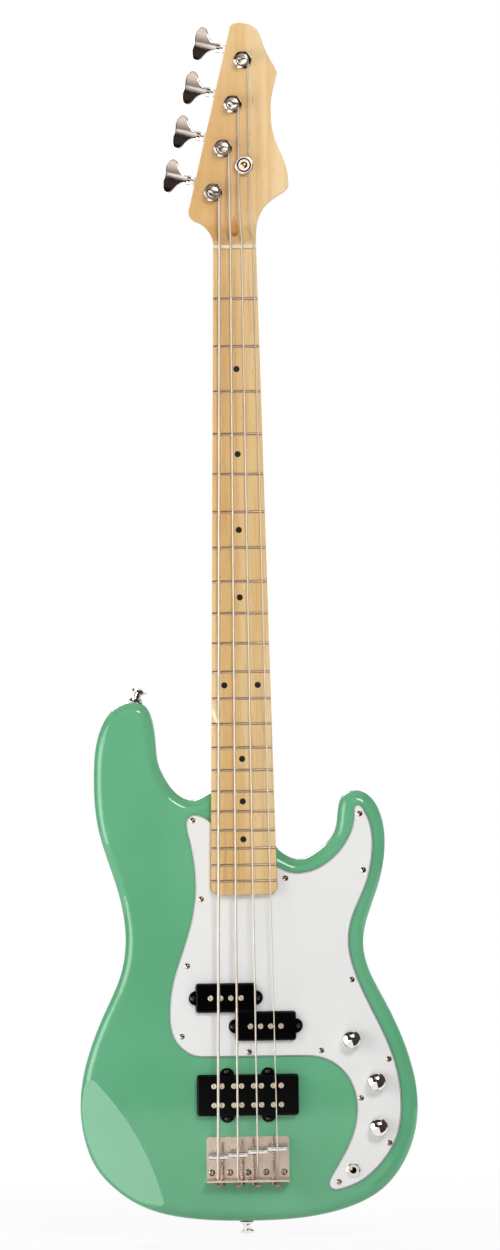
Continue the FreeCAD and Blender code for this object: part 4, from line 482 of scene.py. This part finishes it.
def skin(rings, sides, closed=False):
    # four-sided faces between neighbouring rings of points
    faces = []
    for ring in range(rings if closed else rings - 1):
        nextRing = (ring + 1) % rings
        for step in range(sides):
            nextStep = (step + 1) % sides
            faces.append((ring * sides + step, ring * sides + nextStep,
                          nextRing * sides + nextStep, nextRing * sides + step))
    return faces


def smoothRoute(points, fineness):
    curve = bpy.data.curves.new("route", "CURVE")
    curve.dimensions = "3D"
    spline = curve.splines.new("NURBS")
    spline.points.add(len(points) - 1)
    for spot, point in zip(spline.points, points):
        spot.co = (*point, 1.0)
    spline.order_u = 4
    spline.use_endpoint_u = True
    spline.resolution_u = fineness
    holder = bpy.data.objects.new("route", curve)
    mesh = bpy.data.meshes.new_from_object(holder)
    walked = [vertex.co.copy() for vertex in mesh.vertices]
    bpy.data.objects.remove(holder)
    bpy.data.curves.remove(curve)
    bpy.data.meshes.remove(mesh)
    return walked


def sweep(name, points, radius, sides, look):
    # points and radius in millimetres; the length walked is kept on each vertex
    route = [point * mm for point in points]
    verts, walked = [], []
    length = 0.0
    ahead = (route[1] - route[0]).normalized()
    side = ahead.orthogonal().normalized()
    for number, point in enumerate(route):
        before = route[max(number - 1, 0)]
        after = route[min(number + 1, len(route) - 1)]
        newAhead = (after - before).normalized()
        side = ahead.rotation_difference(newAhead) @ side
        side = (side - newAhead * side.dot(newAhead)).normalized()
        ahead = newAhead
        other = ahead.cross(side)
        length += (point - before).length
        for step in range(sides):
            turn = fullTurn * step / sides
            out = side * math.cos(turn) + other * math.sin(turn)
            verts.append(point + out * (radius * mm))
            walked.append(length)
    last = (len(route) - 1) * sides
    caps = [tuple(reversed(range(sides))), tuple(range(last, last + sides))]
    piece = newPiece(name, verts, skin(len(route), sides) + caps, looks[look])
    piece.data.shade_smooth()
    piece.data.attributes.new("along", "FLOAT", "POINT").data.foreach_set("value", walked)
    return piece


# strings: points in millimetres, from the bridge's lip over saddle and nut to the post
stringSet = {
    "e": {"width": 2.67, "hole": (-28.5, 4.489, -895.05), "saddle": (-28.5, -4.768, -871.566),
          "nut": (-14.35, -2.628, 1.7), "under": None, "post": (-19.968, 54.25), "turns": 2.0},
    "a": {"width": 2.16, "hole": (-9.5, 2.987, -895.05), "saddle": (-9.5, -6.015, -869.544),
          "nut": (-3.65, -2.772, 1.7), "under": None, "post": (-9.984, 96.536), "turns": 2.5},
    "d": {"width": 1.65, "hole": (9.5, 2.987, -895.05), "saddle": (9.5, -5.76, -866.627),
          "nut": (7.05, -2.442, 1.7), "under": (4.58, 7.445, 71.932), "post": (0.0, 138.822),
          "turns": 3.0},
    "g": {"width": 1.14, "hole": (28.5, 4.489, -895.05), "saddle": (28.5, -4.002, -864.038),
          "nut": (17.75, -1.636, 1.7), "under": (15.58, 7.19, 71.932), "post": (9.984, 181.108),
          "turns": 3.5}}
windingLook = {
    "postWaist": 4.7, "clearance": 0.16, "loopGap": 0.55, "firstTurn": 8.4, "stepsPerTurn": 40,
    "sides": 16}
runLook = {
    "lipShare": 0.4, "saddleBend": 2.6, "nutBend": 2.2, "bendReach": (2.0, 0.5),
    "approachShare": 0.5, "approach": (9.0, 4.0), "fineness": 10}
tailLook = {
    "overlapTurn": 0.03, "rise": 0.1, "elbowShares": (0.06, 0.4, 0.8), "thinShare": 0.96,
    "fineness": 6}


def beside(corner, neighbour, reach):
    # a point on the way from a corner to its neighbour
    return corner + (neighbour - corner).normalized() * reach


def runRoute(corners):
    # straight from corner to corner, with a short bend at each
    start, arrive = corners[0], corners[-1]
    far, near = runLook["bendReach"]
    route = [start, start.lerp(corners[1], runLook["lipShare"])]
    for number in range(1, len(corners) - 1):
        bend = runLook["saddleBend"] if number == 1 else runLook["nutBend"]
        before, corner, after = corners[number - 1:number + 2]
        route.append(beside(corner, before, bend * far))
        route.append(beside(corner, before, bend * near))
        route.append(beside(corner, after, bend * near))
        route.append(beside(corner, after, bend * far))
    route.append(corners[-2].lerp(arrive, runLook["approachShare"]))
    for reach in runLook["approach"]:
        route.append(beside(arrive, corners[-2], reach))
    return smoothRoute(route + [arrive], runLook["fineness"])


def makeString(name):
    facts = stringSet[name]
    radius = facts["width"] / 2
    around = windingLook["postWaist"] + windingLook["clearance"] + radius
    pitch = facts["width"] + windingLook["loopGap"]
    depth = windingLook["firstTurn"] - radius
    x, z = facts["post"]
    corners = [Vector(facts[spot]) for spot in ("hole", "saddle", "nut", "under") if facts[spot]]
    last = corners[-1]
    reach = math.hypot(last.x - x, last.z - z)
    begin = math.atan2(last.z - z, last.x - x) + math.acos(around / reach)

    def onPost(turn):
        angle = begin + fullTurn * turn
        return Vector((x + around * math.cos(angle), depth - pitch * turn,
                       z + around * math.sin(angle)))

    piece = sweep("string_" + name, runRoute(corners + [onPost(0)]), radius,
                  windingLook["sides"], "wound_string")
    steps = windingLook["stepsPerTurn"]
    turns = [onPost(number / steps) for number in range(round(facts["turns"] * steps) + 1)]
    # the winding takes the darker string finish: painted shade under the post's cap
    coil = sweep("string_coil_" + name, turns, radius, windingLook["sides"], "shaded_coil_string")
    for part in (piece, coil):
        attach(part, "instrument")

    # the end that goes from the winding into the post's slot turns with the post; like the
    # winding, it wears the darker string finish, painted shade
    finish = onPost(facts["turns"])
    middle = Vector((x, finish.y - tailLook["rise"], z))
    elbow = [onPost(facts["turns"] - tailLook["overlapTurn"]), finish]
    elbow += [finish.lerp(middle, share) for share in tailLook["elbowShares"]]
    tail = sweep("string_tail_" + name, smoothRoute(elbow + [middle], tailLook["fineness"]),
                 radius * tailLook["thinShare"], windingLook["sides"], "shaded_coil_string")
    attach(tail, "tuner_post_" + name)
    return piece


strings = [makeString(name) for name in stringNames]
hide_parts("strings")
print("bass guitar: strings wound on", len(strings), "posts")


# intonation springs: closed end coils, open between
springSet = {
    "e": {"x": -24.5, "y": -0.711, "saddle": -870.8, "turns": 8},
    "a": {"x": -5.5, "y": -2.213, "saddle": -868.9, "turns": 9},
    "d": {"x": 5.5, "y": -2.213, "saddle": -866.1, "turns": 10},
    "g": {"x": 24.5, "y": -0.711, "saddle": -863.6, "turns": 11}}
springLook = {
    "lip": -893.4, "saddleRadius": 3.1, "wire": 0.8, "coil": 1.9, "endGap": 0.35,
    "closedShare": 0.12, "stepsPerTurn": 20, "sides": 12}


def makeSpring(name):
    facts = springSet[name]
    low = springLook["lip"] + springLook["endGap"]
    high = facts["saddle"] - springLook["saddleRadius"] - springLook["endGap"]
    count = facts["turns"] * springLook["stepsPerTurn"]
    points = []
    for number in range(count + 1):
        share = number / count
        angle = fullTurn * facts["turns"] * share
        level = share - springLook["closedShare"] * math.sin(fullTurn * share) / math.pi
        points.append(Vector((facts["x"] + springLook["coil"] * math.cos(angle),
                              facts["y"] + springLook["coil"] * math.sin(angle),
                              low + (high - low) * level)))
    piece = sweep("spring_" + name, points, springLook["wire"] / 2, springLook["sides"],
                  "spring_wire")
    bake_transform(piece)
    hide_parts("intonation_spring_" + name)
    return piece


springs = [makeSpring(name) for name in stringNames]
print("bass guitar:", len(springs), "springs")


# felt washers under the strap buttons: rim points are past the radius and above the seat,
# waves are a depth, a count and a start
feltSet = {"upper": {"spot": (-101.9, 31.4, -434.25), "way": (0.3256, 0.0, 0.9455)},
           "lower": {"spot": (-1.94, 31.4, -934.25), "way": (0.0, 0.0, -1.0)}}
feltLook = {
    "bore": 2.15, "radius": 6.6, "thickness": 1.48, "sunk": 0.25,
    "rim": [(-0.25, -0.25), (0.0, 0.3), (0.05, 0.75), (-0.12, 1.2), (-0.5, 1.48)],
    "waves": [(0.05, 7, 0.0), (0.04, 17, 1.3)], "sides": 96}


def makeFelt(name):
    facts = feltSet[name]
    way = Vector(facts["way"]).normalized()
    across = Vector((0, 1, 0))
    other = way.cross(across)
    verts = []
    for step in range(feltLook["sides"]):
        turn = fullTurn * step / feltLook["sides"]
        ragged = sum(depth * math.sin(count * turn + start)
                     for depth, count, start in feltLook["waves"])
        profile = [(feltLook["bore"], -feltLook["sunk"])]
        for past, height in feltLook["rim"]:
            profile.append((feltLook["radius"] + past + ragged, height))
        profile.append((feltLook["bore"], feltLook["thickness"]))
        out = across * math.cos(turn) + other * math.sin(turn)
        for reach, height in profile:
            verts.append((Vector(facts["spot"]) + out * reach + way * height) * mm)
    faces = skin(feltLook["sides"], len(feltLook["rim"]) + 2, closed=True)
    piece = newPiece("strap_felt_" + name, verts, faces, looks["felt"])
    piece.data.shade_smooth()
    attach(piece, "instrument")
    return piece


felts = [makeFelt(name) for name in feltSet]
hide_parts("strap_felts")
print("bass guitar: felt washers")


# studio: pale floor, white surround, soft lamps, and glowing cards that only polished surfaces
# see: painted reflections, bright and dark, that light nothing
stageLook = {
    "floorLevel": -0.952, "floorSize": 14.0, "floorShade": (0.9, 0.9, 0.9), "floorGlow": 0.88,
    "glowReach": (0.4, 1.1), "worldSoft": 0.34}
lampSet = {
    "key": {"spot": (0.8, -2.4, 0.9), "aim": (0.0, 0.0, -0.5), "size": 1.0, "power": 37.0},
    "left": {"spot": (-2.0, -1.0, -0.3), "aim": (0.0, 0.0, -0.6), "size": 1.6, "power": 24.0},
    "back": {"spot": (-0.8, 2.4, 0.9), "aim": (0.0, 0.0, -0.5), "size": 1.0, "power": 30.0},
    "back_side": {"spot": (2.0, 1.3, -0.2), "aim": (0.0, 0.0, -0.6), "size": 1.6, "power": 18.0}}
cardSet = {
    "wall_card": {"low": (-2.4, -3.2, -0.95), "high": (2.4, -3.2, 3.0),
                  "shade": (0.045, 0.034, 0.028)},
    "right_card": {"low": (1.5, -3.2, -0.95), "high": (1.5, 1.6, 2.2),
                   "shade": (0.06, 0.048, 0.042)},
    "left_card": {"low": (-2.4, -3.2, 0.15), "high": (-2.4, 0.5, 2.6),
                  "shade": (0.06, 0.046, 0.04)},
    "top_card": {"low": (-2.4, -3.2, 2.6), "high": (1.5, -0.4, 2.6),
                 "shade": (0.06, 0.046, 0.038)},
    "low_card": {"low": (0.155, -3.2, -0.946), "high": (1.5, -0.05, -0.946),
                 "shade": (0.05, 0.04, 0.034)},
    "far_card": {"low": (-2.4, -3.2, -0.944), "high": (0.155, -2.0, -0.944),
                 "shade": (0.008, 0.006, 0.005)},
    "near_card": {"low": (-1.4, -2.0, -0.944), "high": (-0.2, -1.12, -0.944),
                  "shade": (0.008, 0.006, 0.005)},
    "grey_card": {"low": (-1.2, -3.1, -0.2), "high": (0.6, -3.1, 2.5),
                  "shade": (0.92, 0.82, 0.77), "dim": (0.02, 0.016, 0.014), "fade": (0.0, 1.9)},
    "disc_card": {"low": (-0.06, -3.05, 0.1), "high": (0.3, -3.05, 0.5),
                  "shade": (1.7, 1.6, 1.52)},
    "back_floor_card": {"low": (-2.4, 1.2, -0.945), "high": (2.4, 3.2, -0.945),
                        "shade": (0.42, 0.40, 0.39)},
    "back_card": {"low": (0.2, 3.2, -0.95), "high": (2.4, 3.2, 2.4),
                  "shade": (0.07, 0.06, 0.05)},
    "side_card": {"low": (-1.7, 0.2, -0.95), "high": (-1.7, 2.2, 0.6),
                  "shade": (0.08, 0.07, 0.06)},
    "bright_card": {"low": (-1.3, -0.95, -0.94), "high": (-1.3, -0.2, -0.25),
                    "shade": (6.5, 6.5, 6.5)},
    "white_card": {"low": (-1.0, -1.1, -0.945), "high": (-0.14, -0.12, -0.945),
                   "shade": (4.4, 4.4, 4.4)}}


def softLamp(name, facts):
    lamp = bpy.data.lights.new(name, "AREA")
    lamp.shape = "DISK"
    lamp.size = facts["size"]
    lamp.energy = facts["power"]
    holder = bpy.data.objects.new(name, lamp)
    spot = Vector(facts["spot"])
    turned = (Vector(facts["aim"]) - spot).to_track_quat("-Z", "Y").to_matrix().to_4x4()
    holder.matrix_world = Matrix.Translation(spot) @ turned
    holder.visible_camera = False
    scene.collection.objects.link(holder)


def flatSheet(name, low, high, material):
    # a rectangle between opposite corners, which share one coordinate
    first, second = [axis for axis in range(3) if low[axis] != high[axis]]
    corners = []
    for one, other in ((low, low), (high, low), (high, high), (low, high)):
        corner = list(low)
        corner[first], corner[second] = one[first], other[second]
        corners.append(corner)
    sheet = newPiece(name, corners, [tuple(range(len(corners)))], material)
    return sheet


def seenPlainly(f):
    # camera, mirror and glass rays all see the plain white
    straight = f.add("ShaderNodeLightPath", out="Is Camera Ray")
    mirror = f.add("ShaderNodeLightPath", out="Is Glossy Ray")
    glass = f.add("ShaderNodeLightPath", out="Is Transmission Ray")
    return straight.maths("MINIMUM", straight + mirror + glass, 1.0)


def floorFinish():
    # matt, so that it keeps the shadow, and plain white farther out
    f = Finish("pale_floor")
    glow = f.add("ShaderNodeEmission", {}, {"Color": (1.0, 1.0, 1.0), "Strength": 1.0})
    matt = f.add("ShaderNodeBsdfDiffuse", {}, {"Color": stageLook["floorShade"]})
    spot = f.add("ShaderNodeTexCoord", out="Object")
    away = f.add("ShaderNodeVectorMath", {"operation": "LENGTH"}, {0: spot}, out="Value")
    near = stageLook["floorGlow"]
    share = (f.ease(away, *stageLook["glowReach"]) * (1.0 - near) + near) * seenPlainly(f)
    return f.surface(f.add("ShaderNodeMixShader", {}, {0: share, 1: matt, 2: glow}))


def cardFinish(name, facts):
    # glow of one shade, or a fade between two heights, seen only in reflections: painted
    # reflection
    f = Finish(name)
    shade = facts["shade"]
    if "fade" in facts:
        shade = f.mix(f.ease(f.axis("Z"), *facts["fade"]), facts["dim"], shade)
    return f.surface(f.add("ShaderNodeEmission", {}, {"Color": shade, "Strength": 1.0}))


def hangCard(name, facts):
    card = flatSheet(name, facts["low"], facts["high"], cardFinish(name, facts))
    # only glossy rays see the card, so it paints a reflection and lights nothing
    card.visible_camera = False
    card.visible_diffuse = False
    card.visible_shadow = False
    card.visible_transmission = False


def whiteWorld():
    world = bpy.data.worlds.new("white_surround")
    world.use_nodes = True
    scene.world = world
    f = Finish("surround", world.node_tree)
    soft = stageLook["worldSoft"]
    ground = f.tree.nodes["Background"]
    f.fill(ground.inputs["Color"], (1.0, 1.0, 1.0))
    f.fill(ground.inputs["Strength"], soft + (1.0 - soft) * seenPlainly(f))


half = stageLook["floorSize"] / 2
floor = flatSheet("floor", (-half, -half, 0), (half, half, 0), floorFinish())
floor.location.z = stageLook["floorLevel"]
for name, facts in cardSet.items():
    hangCard(name, facts)
whiteWorld()
for name, facts in lampSet.items():
    softLamp(name, facts)

# camera: straight at the front, with the photograph's scale and slight lean
shot = {"wide": 500, "high": 1250, "metresPerPixel": 0.000959, "nutPixel": (234.65, 248.3),
        "lean": 0.01462, "distance": 8.0, "sensor": 36.0, "clipEnd": 60.0}
lean = math.atan(shot["lean"])
dx = shot["wide"] / 2 - shot["nutPixel"][0]
dy = shot["high"] / 2 - shot["nutPixel"][1]
along = dx * math.sin(lean) + dy * math.cos(lean)
right = dx * math.cos(lean) - dy * math.sin(lean)
centre = Vector((right * shot["metresPerPixel"], 0.0, -along * shot["metresPerPixel"]))
camera = bpy.data.cameras.new("front")
camera.sensor_width = shot["sensor"]
camera.lens = shot["sensor"] * shot["distance"] / (shot["high"] * shot["metresPerPixel"])
camera.clip_end = shot["clipEnd"]
holder = bpy.data.objects.new("front", camera)
up = Vector((math.sin(lean), 0, math.cos(lean)))
back = Vector((0, -1, 0))
turned = Matrix((up.cross(back), up, back)).transposed().to_4x4()
holder.matrix_world = Matrix.Translation(centre + back * shot["distance"]) @ turned
scene.collection.objects.link(holder)
scene.camera = holder
scene.view_settings.view_transform = "Standard"
print("bass guitar: studio and camera")
